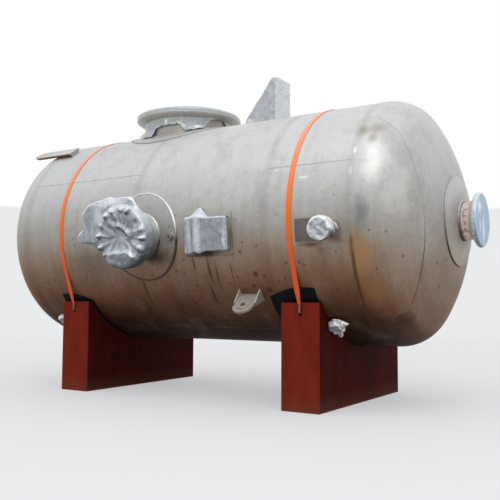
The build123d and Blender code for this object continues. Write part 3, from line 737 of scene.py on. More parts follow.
def on_shell(x: float, angle: float, out: float = 0.0) -> Matrix:
    """Give the frame of a fitting on the shell.

    Args:
        x: station along the vessel.
        angle: degrees above the horizontal, on the manway's side.
        out: distance outside the shell.

    Returns:
        A matrix whose X runs along the vessel, Y up the shell and Z straight out.
    """
    a = math.radians(angle)
    z = Vector((0.0, -math.cos(a), math.sin(a)))
    x_dir = Vector((1.0, 0.0, 0.0))
    origin = Vector((x, 0.0, AXIS_Z)) + z * (SHELL_R + out)
    return framed(x_dir, z.cross(x_dir), z, origin)


def apex_frame(x: float) -> Matrix:
    """Give a frame on the vessel's axis whose Z points along +X.

    Args:
        x: station along the vessel.

    Returns:
        The matrix.
    """
    return framed((0.0, 1.0, 0.0), (0.0, 0.0, 1.0), (1.0, 0.0, 0.0), (x, 0.0, AXIS_Z))


def shell_line(place: Matrix, path: Iterable[Point], out: float) -> list[Vector]:
    """Lay a flat path of a fitting's frame on the round shell.

    Args:
        place: the fitting's frame.
        path: points along X and Y of that frame.
        out: distance outside the shell.

    Returns:
        The points in the row frame.
    """
    radius = SHELL_R + out
    return [place @ Vector((u, v, math.sqrt(radius**2 - v**2) - SHELL_R)) for u, v in path]


def circle_path(radius: float, steps: int) -> list[Point]:
    """Give a closed circle as flat points.

    Args:
        radius: its radius.
        steps: number of sides.

    Returns:
        The points, the first one again at the end.
    """
    return [
        (radius * math.cos(FULL_TURN * i / steps), radius * math.sin(FULL_TURN * i / steps))
        for i in range(steps + 1)
    ]


def finely(points: Sequence[Point], step: float, smooth: int = 0) -> list[Point]:
    """Divide a flat path to short steps and round its corners.

    Args:
        points: corners of the path.
        step: longest step.
        smooth: passes that round the corners, each by about one step.

    Returns:
        The finer path.
    """
    fine: list[Point] = []
    for (r0, h0), (r1, h1) in zip(points, points[1:]):
        count = max(1, math.ceil(math.hypot(r1 - r0, h1 - h0) / step))
        fine += [(r0 + (r1 - r0) * i / count, h0 + (h1 - h0) * i / count) for i in range(count)]
    fine.append(points[-1])
    for _ in range(smooth):
        middle = [
            ((a[0] + 2 * b[0] + c[0]) / 4, (a[1] + 2 * b[1] + c[1]) / 4)
            for a, b, c in zip(fine, fine[1:], fine[2:])
        ]
        fine = [fine[0], *middle, fine[-1]]
    return fine


def linked(name: str, data: Any) -> Object:
    """Make an object and link it to the scene.

    Args:
        name: its name.
        data: its mesh, curve, camera or lamp.

    Returns:
        The object.
    """
    made = bpy.data.objects.new(name, data)
    bpy.context.scene.collection.objects.link(made)
    return made


def taken(holder: Object) -> BMesh:
    """Take the evaluated mesh of an object, and remove the object.

    Args:
        holder: the object.

    Returns:
        Its mesh.
    """
    shape = bpy.data.meshes.new_from_object(
        holder.evaluated_get(bpy.context.evaluated_depsgraph_get())
    )
    bpy.data.objects.remove(holder)
    bm = bmesh.new()
    bm.from_mesh(shape)
    bpy.data.meshes.remove(shape)
    return bm


def relax(bm: BMesh, passes: int) -> None:
    """Smooth a mesh all over but for its open edges.

    Args:
        bm: the mesh.
        passes: smoothing passes.
    """
    inner = [v for v in bm.verts if not v.is_boundary]
    for _ in range(passes):
        bmesh.ops.smooth_vert(
            bm, verts=inner, factor=0.5, use_axis_x=True, use_axis_y=True, use_axis_z=True
        )


@dataclass
class Folds:
    """Crisp creases of tight film: crossing folds whose strength wanders over the sheet."""

    size: float
    depth: float
    seed: int
    count: int = 7
    waves: list[tuple[Vector, float, float]] = field(init=False, repr=False)

    def __post_init__(self) -> None:
        """Draw the folds' ways, spacings and phases from the seed."""
        draw = random.Random(self.seed)
        self.waves = []
        for _ in range(self.count):
            way = Vector((draw.gauss(0, 1), draw.gauss(0, 1), draw.gauss(0, 1))).normalized()
            self.waves.append((way, self.size * draw.uniform(0.6, 1.5), draw.uniform(0.0, 9.0)))

    def lift(self, point: Vector) -> float:
        """Give the height of the film at a point, from 0 to about its depth."""
        total = 0.0
        for way, size, phase in self.waves:
            wander = noise.noise(point * (0.7 / size) + Vector((phase, 0.0, 0.0)))
            fold = abs((point.dot(way) / size + phase + 0.5 * wander) % 2.0 - 1.0)
            strength = 0.35 + noise.noise(point * (0.45 / size) + Vector((0.0, phase, 0.0)))
            total += fold * max(0.0, strength)
        return 2.0 * self.depth * total / self.count


@dataclass
class Assembly:
    """A sub-assembly: builds its pieces and dresses its CAD nodes."""

    nodes: Mapping[str, Object] = field(default_factory=dict, repr=False)

    def dress(self, finish: Finish, *names: str) -> None:
        """Give CAD nodes a finish.

        Args:
            finish: the finish.
            names: names of the nodes.
        """
        for name in names:
            node = self.nodes[name]
            node.data.materials.clear()
            node.data.materials.append(finish.material())
            log.info("dressed %s with %s", name, finish.name)

    def piece(
        self, name: str, bm: BMesh, finish: Finish, slot: Slot, replaces: Sequence[str] = (),
        sharp_deg: float = 35.0,
    ) -> Object:
        """Turn a bmesh into a piece that rides on the body.

        Args:
            name: the piece's name.
            bm: its mesh in the row frame; it is freed.
            finish: its finish.
            slot: its slot in the record; not used.
            replaces: CAD nodes that it stands for.
            sharp_deg: angle over which an edge shades sharp.

        Returns:
            The object.
        """
        mesh = bpy.data.meshes.new(name)
        bm.to_mesh(mesh)
        bm.free()
        mesh.polygons.foreach_set("use_smooth", [True] * len(mesh.polygons))
        mesh.set_sharp_from_angle(angle=math.radians(sharp_deg))
        mesh.materials.append(finish.material())
        made = linked(name, mesh)
        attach(made, BODY)
        if replaces:
            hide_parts(*replaces)
        log.info("piece %s: %d faces", name, len(mesh.polygons))
        return made

    def sheet(
        self, made: Object, cut: Point, held: Held, rests_on: Sequence[str], faces: int = 1
    ) -> None:
        """Log a sheet piece's mesh area beside the area of the rectangle it was cut from.

        Args:
            made: the piece.
            cut: sides of the rectangle the sheet was cut from.
            held: how it is held; not used.
            rests_on: nodes it lies on; not used.
            faces: how many faces of the sheet its mesh shows, 2 for a solid one.
        """
        skin = sum(polygon.area for polygon in made.data.polygons) / faces
        log.info("sheet %s: %.3f of %.3f m2", made.name, skin, cut[0] * cut[1])

    def bead(
        self, name: str, lines: Sequence[Sequence[Vector]], radius: float, finish: Finish, slot: Slot,
        seed: float = 0.0,
    ) -> Object:
        """Lay weld beads of uneven width along lines.

        Args:
            name: the piece's name.
            lines: points of each bead; a line that ends where it starts is closed.
            radius: radius of the bead.
            finish: its finish.
            slot: its slot in the record.
            seed: offset of its unevenness.

        Returns:
            The object, a mesh.
        """
        curve = bpy.data.curves.new(name + "_line", "CURVE")
        curve.dimensions = "3D"
        curve.bevel_depth = radius
        curve.bevel_resolution = 1
        for line in lines:
            closed = (line[0] - line[-1]).length < radius
            points = line[:-1] if closed else line
            spline = curve.splines.new("POLY")
            spline.points.add(len(points) - 1)
            spline.use_cyclic_u = closed
            for target, point in zip(spline.points, points):
                target.co = (*point, 1.0)
                uneven = noise.noise(point * BEAD_RATE + Vector((seed, 0, 0)))
                target.radius = 1.0 + BEAD_SWELL * uneven
        bm = taken(linked(name + "_line", curve))
        return self.piece(name, bm, finish, slot, sharp_deg=80.0)


def turned(profile: Sequence[Point], steps: int) -> BMesh:
    """Spin a profile about Z.

    Args:
        profile: points as radius and height.
        steps: sides of the turn.

    Returns:
        The closed surface of revolution.
    """
    bm = bmesh.new()
    verts = [bm.verts.new((r, 0.0, h)) for r, h in profile]
    edges = [bm.edges.new(pair) for pair in zip(verts, verts[1:])]
    bmesh.ops.spin(
        bm, geom=[*verts, *edges], cent=(0.0, 0.0, 0.0), axis=(0.0, 0.0, 1.0), angle=FULL_TURN,
        steps=steps, use_merge=True,
    )
    bmesh.ops.remove_doubles(bm, verts=bm.verts, dist=1e-6)
    bmesh.ops.recalc_face_normals(bm, faces=bm.faces)
    return bm


def level(table: Sequence[Point], at: float) -> float:
    """Read a table of places and values, straight between its rows.

    Args:
        table: rows of place and value, in order.
        at: the place to read.

    Returns:
        The value there; the end rows hold outside the table.
    """
    for (x0, y0), (x1, y1) in zip(table, table[1:]):
        if at <= x1:
            return y0 + (y1 - y0) * max(0.0, at - x0) / (x1 - x0)
    return table[-1][1]


def near(u: float, v: float, at: Point, radius: float) -> float:
    """Give a round bump's height, 1 at its middle and 0 from its radius on.

    Args:
        u: first coordinate.
        v: second coordinate.
        at: the bump's middle.
        radius: the bump's radius.

    Returns:
        The height.
    """
    share = min(1.0, math.hypot(u - at[0], v - at[1]) / radius)
    return 0.5 + 0.5 * math.cos(math.pi * share)


def draped(
    rings: Sequence[int], steps: int, section: Callable[[float], Sequence[Point]], smooth: int
) -> BMesh:
    """Shape a flat round sheet over a form.

    Args:
        rings: rings of faces between each two corners of the section.
        steps: faces round the sheet.
        section: gives its corners, as radius and height, at an angle in radians.
        smooth: passes that round the corners.

    Returns:
        The sheet, its middle at the first corner.
    """
    places = [i + j / count for i, count in enumerate(rings) for j in range(count)]
    bm = turned([(place, 0.0) for place in [*places, float(len(rings))]], steps)
    for v in bm.verts:
        turn = math.atan2(v.co.y, v.co.x)
        place = min(v.co.to_2d().length, len(rings) - 1e-6)
        corners = section(turn)
        (r0, h0), (r1, h1) = corners[int(place)], corners[int(place) + 1]
        share = place % 1.0
        r = r0 + (r1 - r0) * share
        v.co = (r * math.cos(turn), r * math.sin(turn), h0 + (h1 - h0) * share)
    relax(bm, smooth)
    bmesh.ops.recalc_face_normals(bm, faces=bm.faces)
    return bm


def move_verts(bm: BMesh, shift: Callable[[Vector, Vector], Vector]) -> None:
    """Move every vertex by a function of its place and normal.

    Args:
        bm: the mesh.
        shift: gives the move from a place and a normal.
    """
    bm.normal_update()
    moves = [(v, shift(v.co, v.normal)) for v in bm.verts]
    for v, move in moves:
        v.co += move


def remeshed(bm: BMesh, voxel: float, smooth: int) -> BMesh:
    """Turn a closed shape into an even skin with rounded corners.

    Args:
        bm: the shape; it is freed.
        voxel: size of the skin's faces.
        smooth: smoothing passes.

    Returns:
        The skin.
    """
    mesh = bpy.data.meshes.new("skin")
    bm.to_mesh(mesh)
    bm.free()
    holder = linked("skin", mesh)
    remesh = holder.modifiers.new("even", "REMESH")
    remesh.mode = "VOXEL"
    remesh.voxel_size = voxel
    skin = taken(holder)
    bpy.data.meshes.remove(mesh)
    relax(skin, smooth)
    return skin


def prism(outline: Sequence[Point], low: float, high: float) -> BMesh:
    """Extrude a flat outline along Z.

    Args:
        outline: its corners.
        low: height of the lower face.
        high: height of the upper face.

    Returns:
        The closed prism.
    """
    bm = bmesh.new()
    face = bm.faces.new([bm.verts.new((u, v, low)) for u, v in outline])
    made = bmesh.ops.extrude_face_region(bm, geom=[face])
    top = [item for item in made["geom"] if isinstance(item, bmesh.types.BMVert)]
    bmesh.ops.translate(bm, verts=top, vec=(0.0, 0.0, high - low))
    bmesh.ops.holes_fill(bm, edges=[edge for edge in bm.edges if edge.is_boundary])
    bmesh.ops.recalc_face_normals(bm, faces=bm.faces)
    return bm


def open_where(bm: BMesh, test: Callable[[Vector, Vector], bool]) -> None:
    """Delete the faces whose middle and normal pass a test.

    Args:
        bm: the mesh.
        test: says which faces go.
    """
    gone = [f for f in bm.faces if test(f.calc_center_median(), f.normal)]
    bmesh.ops.delete(bm, geom=gone, context="FACES")


@dataclass
class Shell(Assembly):
    """Strakes, dished heads and their seam welds."""

    seams: tuple[float, ...] = SEAM_X
    bead_r: float = 0.0075
    bead_sunk: float = 0.005
    ring_sides: int = 220
    long_step: float = 0.02
    left_long_deg: float = 27.7
    right_long_deg: float = 22.7
    middle_long_deg: float = -60.0
    head_straight: float = 0.032
    crown_r: float = 1.92
    knuckle_r: float = 0.37
    chord_y: float = -0.716
    chord_tilt: float = 0.104
    chord_steps: int = 60
    chord_share: float = 0.985

    def head_x(self, radius: float) -> float:
        """Give how far the right head stands past its seam at a distance from the axis."""
        knuckle_y = SHELL_R - self.knuckle_r
        reach = math.sqrt((self.crown_r - self.knuckle_r) ** 2 - knuckle_y**2)
        tangent = math.atan2(knuckle_y, reach)
        if radius <= self.crown_r * math.sin(tangent):
            return self.head_straight - reach + math.sqrt(self.crown_r**2 - radius**2)
        return self.head_straight + math.sqrt(max(0.0, self.knuckle_r**2 - (radius - knuckle_y) ** 2))

    def chord(self) -> list[Vector]:
        """Give the straight weld that joins the right head's two plates."""
        points = []
        half = math.sqrt(SHELL_R**2 - self.chord_y**2)
        for i in range(-self.chord_steps, self.chord_steps + 1):
            s = half * i / self.chord_steps * self.chord_share
            y = self.chord_y - math.sin(self.chord_tilt) * s
            z = math.cos(self.chord_tilt) * s
            radius = math.hypot(y, z)
            if radius < SHELL_R:
                x = self.seams[-1] + self.head_x(radius)
                inward = Vector((0.0, y, z)).normalized() * 0.4 + Vector((0.9, 0.0, 0.0))
                points.append(Vector((x, y, AXIS_Z + z)) - inward * self.bead_sunk)
        return points

    def build(self) -> None:
        """Dress the plates and lay the seam welds."""
        plates = ("left_strake", "middle_strake", "right_strake", "left_head", "right_head")
        self.dress(SHELL_PLATE, *plates)
        radius = SHELL_R - self.bead_sunk
        rings = [
            [Vector((x, u, AXIS_Z + v)) for u, v in circle_path(radius, self.ring_sides)]
            for x in self.seams
        ]
        self.bead("ring_welds", rings, self.bead_r, WELD_METAL, Slot.SHELL, 1.0)
        longs = []
        for angle, start, end in (
            (self.left_long_deg, self.seams[0], self.seams[1]),
            (self.right_long_deg, self.seams[2], self.seams[3]),
            (self.middle_long_deg, self.seams[1], self.seams[2]),
        ):
            count = int((end - start) / self.long_step)
            longs.append(
                [
                    on_shell(start + (end - start) * i / count, angle, -self.bead_sunk).translation
                    for i in range(count + 1)
                ]
            )
        longs.append(self.chord())
        self.bead("long_welds", longs, self.bead_r, WELD_METAL, Slot.SHELL, 5.0)


@dataclass
class Manway(Assembly):
    """Manway with its pad, blind cover and film."""

    x: float = -1.705
    angle: float = -5.6
    pad_r: float = 0.439
    pad_t: float = 0.014
    neck_r: float = 0.228
    rim_r: float = 0.302
    face_h: float = 0.3155
    lip_h: float = 0.213
    hem_h: float = 0.036
    bolts: int = 16
    bolt_r: float = 0.277
    bolt_phase: float = 18.0
    telltale_out: float = 0.380
    telltale_lift: float = -0.014
    telltale_r: float = 0.031
    tight_r: float = 0.304
    knob_h: float = 0.029
    spoke_h: float = 0.008
    ring_h: float = 0.014
    fan_h: float = 0.005
    ridge_h: float = 0.030
    ridge_r: float = 0.040
    ridge_from: Point = (-0.019, 0.114)
    ridge_run: Point = (0.149, -0.105)
    ridge_square: float = 0.0332
    crest_h: float = 0.034
    dimple: Point = (-0.020, 0.058)
    flat_spot: Point = (0.205, 0.140)
    pocket: tuple[Point, ...] = (
        (45.0, 0.304), (63.0, 0.335), (78.0, 0.383), (106.0, 0.403), (129.0, 0.490), (145.0, 0.596),
        (155.0, 0.624), (164.0, 0.573), (170.0, 0.576), (177.0, 0.655), (182.0, 0.630),
        (186.0, 0.440), (195.0, 0.352), (205.0, 0.304),
    )

    def section(self, turn: float) -> list[Point]:
        """Give the film's corners at an angle: face, rim, loose pocket, neck and hem."""
        reach = level(self.pocket, math.degrees(turn) % 360.0)
        loose = reach - self.tight_r
        return [
            (0.0, self.face_h), (self.rim_r - 0.008, self.face_h), (self.rim_r, self.face_h - 0.012),
            (self.rim_r + 0.003 + 0.25 * loose, 0.272 - 0.02 * loose), (reach, 0.245 + 0.03 * loose),
            (self.rim_r + 0.004 + 0.45 * loose, self.lip_h + 0.04 * loose),
            (self.neck_r + 0.036, 0.115), (self.neck_r + 0.012, 0.060),
            (self.neck_r + 0.009, self.hem_h),
        ]

    def tent(self, u: float, v: float) -> float:
        """Give how far the film stands off the cover at a place on its face."""
        r, turn = math.hypot(u, v), math.atan2(v, u)
        step = FULL_TURN / self.bolts
        place = (turn - math.radians(self.bolt_phase)) / step
        place += 0.35 * noise.noise(Vector((u * 7.0, v * 7.0, 2.0)))
        index = round(place)
        aside = (place - index) * step * self.bolt_r
        uneven = 0.8 + 1.6 * noise.noise(Vector((index % self.bolts * 1.71, 3.3, 0.0)))
        upper = level(((-0.22, 0.25), (-0.06, 1.0)), v)
        knob = near(r, aside, (self.bolt_r, 0.0), 0.046)
        spoke = near(0.0, aside, (0.0, 0.0), 0.040) * level(((0.12, 0.0), (0.25, 1.0)), r)
        out = upper * uneven * (self.knob_h * knob + self.spoke_h * spoke)
        out += self.ring_h * level(((0.05, 0.0), (0.20, 1.0), (0.27, 0.7), (0.31, 0.0)), r)
        fan = math.sin(turn * 11.0 + 7.0 * noise.noise(Vector((u * 5.0, v * 5.0, 7.0))))
        out += self.fan_h * fan * level(((0.05, 0.0), (0.14, 1.0), (0.26, 0.0)), r)
        du, dv = u - self.ridge_from[0], v - self.ridge_from[1]
        run_u, run_v = self.ridge_run
        along = min(1.0, max(0.0, (du * run_u + dv * run_v) / self.ridge_square))
        bowed = 0.012 * math.sin(math.pi * along)
        ridge = math.hypot(du - run_u * along - bowed, dv - run_v * along - bowed)
        out += self.ridge_h * max(0.0, 1.0 - ridge / self.ridge_r) * (0.6 + 0.4 * along)
        crest = v + 0.05 * noise.noise(Vector((u * 8.0, 0.0, 4.0)))
        wide = level(((-0.22, 0.0), (-0.14, 1.0), (0.15, 1.0), (0.22, 0.0)), u)
        out += self.crest_h * wide * level(
            ((-0.31, 0.0), (-0.165, 1.0), (-0.130, 0.15), (-0.10, 0.0)), crest
        )
        out *= 1.0 - 0.9 * near(u, v, self.dimple, 0.045)
        return out * (1.0 - 0.95 * near(u, v, self.flat_spot, 0.050))

    def film(self) -> None:
        """Make the film over the cover, with its loose pocket, down to the neck."""
        bm = draped((50, 3, 5, 24, 22, 12, 8, 4), 360, self.section, 1)
        tight = Folds(0.075, 0.026, 5)
        slack = Folds(0.080, 0.034, 8)

        def shift(co: Vector, normal: Vector) -> Vector:
            r = co.to_2d().length
            if co.z > self.face_h - 0.016 and r < self.rim_r + 0.004:
                out = self.tent(co.x, co.y) + 0.8 * tight.lift(co)
                rim = level(((self.rim_r - 0.03, 0.0), (self.rim_r, 1.0)), r)
                away = Vector((co.x, co.y, 0.0)).normalized() * rim * 0.5 * out
                return Vector((0.0, 0.0, out * (1.0 - 0.5 * rim))) + away
            loose = level(((0.31, 0.25), (0.37, 1.0), (0.46, 0.35)), r)
            drawn = Vector((co.x * 1.5 + co.y * 0.5, co.y * 0.40, co.z))
            return normal * (slack.lift(drawn) * loose + 0.35 * tight.lift(co))

        move_verts(bm, shift)
        bmesh.ops.transform(bm, matrix=on_shell(self.x, self.angle), verts=bm.verts)
        made = self.piece("manway_film_wrap", bm, SILVER_FILM, Slot.FILM, ["manway_film"])
        self.sheet(made, (1.3, 1.3), Held.STRETCHED, ["manway_cover", "manway_flange"])

    def build(self) -> None:
        """Dress the steel, lay the welds and wrap the cover."""
        self.dress(PAD_PLATE, "manway_pad")
        self.dress(NECK_STEEL, "manway_neck", "manway_telltale")
        self.dress(BRIGHT_STEEL, "manway_flange", "manway_cover")
        self.dress(GASKET, "manway_gasket")
        place = on_shell(self.x, self.angle)
        rim = shell_line(place, circle_path(self.pad_r + 0.002, 160), 0.006)
        neck = shell_line(place, circle_path(self.neck_r + 0.006, 120), self.pad_t + 0.004)
        tell = on_shell(
            self.x + self.telltale_out, self.angle + math.degrees(self.telltale_lift / SHELL_R)
        )
        foot = shell_line(tell, circle_path(self.telltale_r + 0.004, 40), self.pad_t + 0.003)
        self.bead("manway_pad_weld", [rim], 0.014, SEAL_BEAD, Slot.PAD, 2.0)
        self.bead("manway_neck_weld", [neck], 0.015, SEAL_BEAD, Slot.FITTING, 3.0)
        self.bead("telltale_weld", [foot], 0.007, WELD_METAL, Slot.FITTING, 4.0)
        self.film()


@dataclass
class TopNozzle(Assembly):
    """Large nozzle on the crest with its film."""

    x: float = -2.032
    pad_r: float = 0.672
    pad_t: float = 0.014
    neck_r: float = 0.508
    rim_r: float = 0.616
    face_h: float = 0.2015
    lip_h: float = 0.146
    torn: tuple[Point, ...] = (
        (195.0, 0.0), (256.0, 0.0), (262.0, 0.45), (270.0, 0.52), (284.0, 0.56), (296.0, 0.50),
        (302.0, 0.06), (326.0, 0.02), (334.0, 0.70), (345.0, 0.95), (360.0, 0.90),
    )
    flare: tuple[Point, ...] = (
        (185.0, 0.010), (205.0, 0.075), (235.0, 0.065), (254.0, 0.030), (262.0, 0.012),
        (300.0, 0.014), (306.0, 0.040), (322.0, 0.030), (330.0, 0.010),
    )

    def section(self, turn: float) -> list[Point]:
        """Give the film's corners at an angle: face, rim, underside, neck and torn hem."""
        angle = math.degrees(turn) % 360.0
        foot_r = self.neck_r + 0.010 + level(self.flare, angle)
        foot = math.sqrt((SHELL_R + self.pad_t) ** 2 - (foot_r * math.sin(turn)) ** 2) - SHELL_R
        foot += 0.012 + 0.010 * noise.noise(Vector((turn * 9.0, 0.0, 1.0)))
        top = self.lip_h - 0.030
        torn = level(self.torn, angle)
        torn += 0.10 * noise.noise(Vector((turn * 14.0, 0.0, 5.0))) * min(1.0, 4.0 * torn)
        hem = foot + (top - foot) * min(0.9, torn)
        hem_r = self.neck_r + 0.008 + (foot_r - self.neck_r - 0.008) * (1.0 - torn)
        return [
            (0.0, self.face_h), (self.rim_r - 0.010, self.face_h), (self.rim_r, self.face_h - 0.012),
            (self.rim_r, self.lip_h + 0.006), (self.rim_r - 0.012, self.lip_h - 0.004),
            (self.neck_r + 0.016, top), (self.neck_r + 0.009, hem + 0.45 * (top - hem)), (hem_r, hem),
        ]

    def film(self) -> None:
        """Make the film over the flange, torn up from the neck in two places."""
        bm = draped((40, 3, 6, 3, 8, 10, 12), 460, self.section, 1)
        tight = Folds(0.10, 0.012, 21)
        face = Folds(0.30, 0.014, 27)

        def shift(co: Vector, normal: Vector) -> Vector:
            if co.z > self.face_h - 0.003:
                return Vector((0.0, 0.0, face.lift(co)))
            low = level(((self.lip_h - 0.04, 1.0), (self.lip_h, 0.3)), co.z)
            return normal * tight.lift(Vector((co.x, co.y, 0.6 * co.z))) * low * 1.6

        move_verts(bm, shift)
        bmesh.ops.transform(bm, matrix=on_shell(self.x, 90.0), verts=bm.verts)
        made = self.piece("top_nozzle_wrap", bm, CREST_FILM, Slot.FILM, ["top_nozzle_film"])
        self.sheet(made, (1.7, 1.7), Held.STRETCHED, ["top_nozzle_flange"])

    def build(self) -> None:
        """Dress the steel, lay the welds and wrap the flange."""
        self.dress(PAD_PLATE, "top_nozzle_pad")
        self.dress(NECK_STEEL, "top_nozzle_neck")
        self.dress(BRIGHT_STEEL, "top_nozzle_flange")
        place = on_shell(self.x, 90.0)
        rim = shell_line(place, circle_path(self.pad_r + 0.002, 220), 0.006)
        neck = shell_line(place, circle_path(self.neck_r + 0.006, 200), self.pad_t + 0.004)
        self.bead("top_pad_weld", [rim], 0.008, CREST_BEAD, Slot.PAD, 12.0)
        self.bead("top_neck_weld", [neck], 0.012, CREST_BEAD, Slot.FITTING, 13.0)
        self.film()


@dataclass
class ClipBox(Assembly):
    """Box of four plates on a curved pad, wrapped in film."""

    x: float = -0.8905
    angle: float = -6.1
    pad_w: float = 0.543
    pad_h: float = 0.400
    box_w: float = 0.466
    box_h: float = 0.300
    shift: float = 0.024
    face_h: float = 0.0695

    def film(self) -> None:
        """Make the film over the box, open against the shell, with a tuft pulled up on top."""
        half_w = self.box_w / 2 + 0.008
        half_h = self.box_h / 2 + 0.008
        outline = [
            (self.shift - half_w, -half_h), (self.shift + half_w, -half_h),
            (self.shift + half_w, half_h), (self.shift - half_w, half_h),
        ]
        bm = remeshed(prism(outline, -0.04, self.face_h), 0.0055, 2)
        pleats = Folds(0.050, 0.026, 31)
        crush = Folds(0.035, 0.010, 35)
        edge = self.shift - half_w
        right = self.shift + half_w

        def shift(co: Vector, normal: Vector) -> Vector:
            left = level(((edge + 0.17, 1.0), (edge + 0.20, 0.15)), co.x)
            out = normal * left * pleats.lift(Vector((co.x * 2.0, co.y * 0.25, co.z)))
            out += normal * (1.0 - 0.7 * left) * crush.lift(co)
            lift = near(co.x, 0.0, (edge + 0.135, 0.0), 0.135)
            high = level(((half_h - 0.03, 0.0), (half_h, 1.0)), co.y)
            back = level(((0.0, 1.0), (self.face_h, 0.15)), co.z)
            tail = level(((edge, 1.0), (edge + 0.20, 0.5), (edge + 0.24, 0.0)), co.x)
            low = level(((-half_h, 1.0), (-half_h + 0.03, 0.0)), co.y)
            out.y += 0.085 * lift * high * back
            out.y -= 0.030 * tail * low * (0.6 + noise.noise(co * 22.0))
            return out

        def bare(co: Vector, normal: Vector) -> bool:
            under = co.z < math.sqrt((SHELL_R + 0.015) ** 2 - co.y**2) - SHELL_R
            return under or (co.x > right - 0.012 and co.z < self.face_h - 0.012)

        move_verts(bm, shift)
        open_where(bm, bare)
        bmesh.ops.transform(bm, matrix=on_shell(self.x, self.angle), verts=bm.verts)
        made = self.piece("box_film_wrap", bm, BOX_FILM, Slot.FILM, ["box_film"])
        self.sheet(made, (0.68, 0.50), Held.STRETCHED, ["box_frame"])

    def build(self) -> None:
        """Dress the steel, lay the weld and wrap the box."""
        self.dress(PAD_PLATE, "box_pad", "box_frame")
        w, h = self.pad_w / 2 + 0.002, self.pad_h / 2 + 0.002
        corners = [(-w, -h), (w, -h), (w, h), (-w, h), (-w, -h)]
        rim = shell_line(on_shell(self.x, self.angle), finely(corners, 0.012), 0.005)
        self.bead("box_pad_weld", [rim], 0.007, WELD_METAL, Slot.PAD, 22.0)
        self.film()


@dataclass
class LiftingLug(Assembly):
    """Round-ended lifting lug with cheek rings and gussets."""

    def build(self) -> None:
        """Dress the plates."""
        self.dress(LUG_STEEL, "lug_plate", "lug_gussets")


@dataclass
class SmallNozzle(Assembly):
    """Small side nozzle in film, with the plain plate beside it."""

    x: float = 0.412
    angle: float = -6.4
    neck_r: float = 0.0445
    rim_r: float = 0.1015
    face_h: float = 0.2295
    lip_h: float = 0.148
    hem_h: float = 0.020

    def section(self, turn: float) -> list[Point]:
        """Give the film's corners at an angle, with a tail of film at the right."""
        tail = level(((-60.0, 0.0), (-5.0, 1.0), (20.0, 0.7), (70.0, 0.0)), math.degrees(turn))
        return [
            (0.0, self.face_h), (self.rim_r - 0.008, self.face_h), (self.rim_r, self.face_h - 0.012),
            (self.rim_r - 0.008 + 0.014 * tail, self.lip_h + 0.02 * tail),
            (self.neck_r + 0.012 + 0.01 * tail, self.hem_h + 0.04), (self.neck_r + 0.017, self.hem_h),
        ]

    def film(self) -> None:
        """Make the film over the blind and down the neck."""
        bm = draped((28, 3, 16, 14, 8), 200, self.section, 1)
        tight = Folds(0.050, 0.036, 41)
        move_verts(bm, lambda co, normal: normal * tight.lift(co))
        bmesh.ops.transform(bm, matrix=on_shell(self.x, self.angle), verts=bm.verts)
        made = self.piece("small_nozzle_wrap", bm, PALE_FILM, Slot.FILM, ["small_nozzle_film"])
        self.sheet(made, (0.36, 0.36), Held.STRETCHED, ["small_nozzle_blind"])

    def build(self) -> None:
        """Dress the steel and wrap the nozzle."""
        self.dress(DULL_PLATE, "clip_plate")
        self.dress(NECK_STEEL, "small_nozzle_neck")
        self.dress(BRIGHT_STEEL, "small_nozzle_flange", "small_nozzle_blind")
        self.film()


@dataclass
class Drains(Assembly):
    """Two flanged drains bundled in film."""

    stations: tuple[tuple[str, float, float], ...] = (
        ("right", 0.274, -52.0), ("left", -3.215, -51.0)
    )
    neck_r: float = 0.024
    rim_r: float = 0.062
    face_h: float = 0.0895
    lip_h: float = 0.052
    tails: tuple[Point, ...] = (
        (-180.0, 0.2), (-150.0, 0.0), (-112.0, 0.0), (-92.0, 1.7), (-70.0, 0.0), (2.0, 0.0),
        (22.0, 1.8), (44.0, 0.0), (120.0, 0.0), (180.0, 0.2),
    )

    def section(self, turn: float) -> list[Point]:
        """Give the film's corners at an angle, with a tail up to the right and one below."""
        tail = level(self.tails, math.degrees(turn))
        return [
            (0.0, self.face_h), (self.rim_r - 0.010, self.face_h), (self.rim_r, self.face_h - 0.010),
            (self.rim_r + 0.050 * tail, self.lip_h + 0.010 * tail), (self.neck_r + 0.014, 0.034),
            (self.neck_r + 0.024, 0.014),
        ]

    def build(self) -> None:
        """Dress the stubs and bundle them."""
        for seed, (side, x, angle) in enumerate(self.stations):
            self.dress(BRIGHT_STEEL, f"{side}_drain")
            bm = draped((16, 3, 10, 10, 5), 150, self.section, 1)
            crumple = Folds(0.034, 0.028, 51 + 7 * seed)
            move_verts(bm, lambda co, normal, f=crumple: normal * f.lift(co))
            bmesh.ops.transform(bm, matrix=on_shell(x, angle), verts=bm.verts)
            made = self.piece(f"{side}_drain_wrap", bm, WHITE_FILM, Slot.FILM, [f"{side}_drain_film"])
            self.sheet(made, (0.24, 0.24), Held.GATHERED, [f"{side}_drain"])


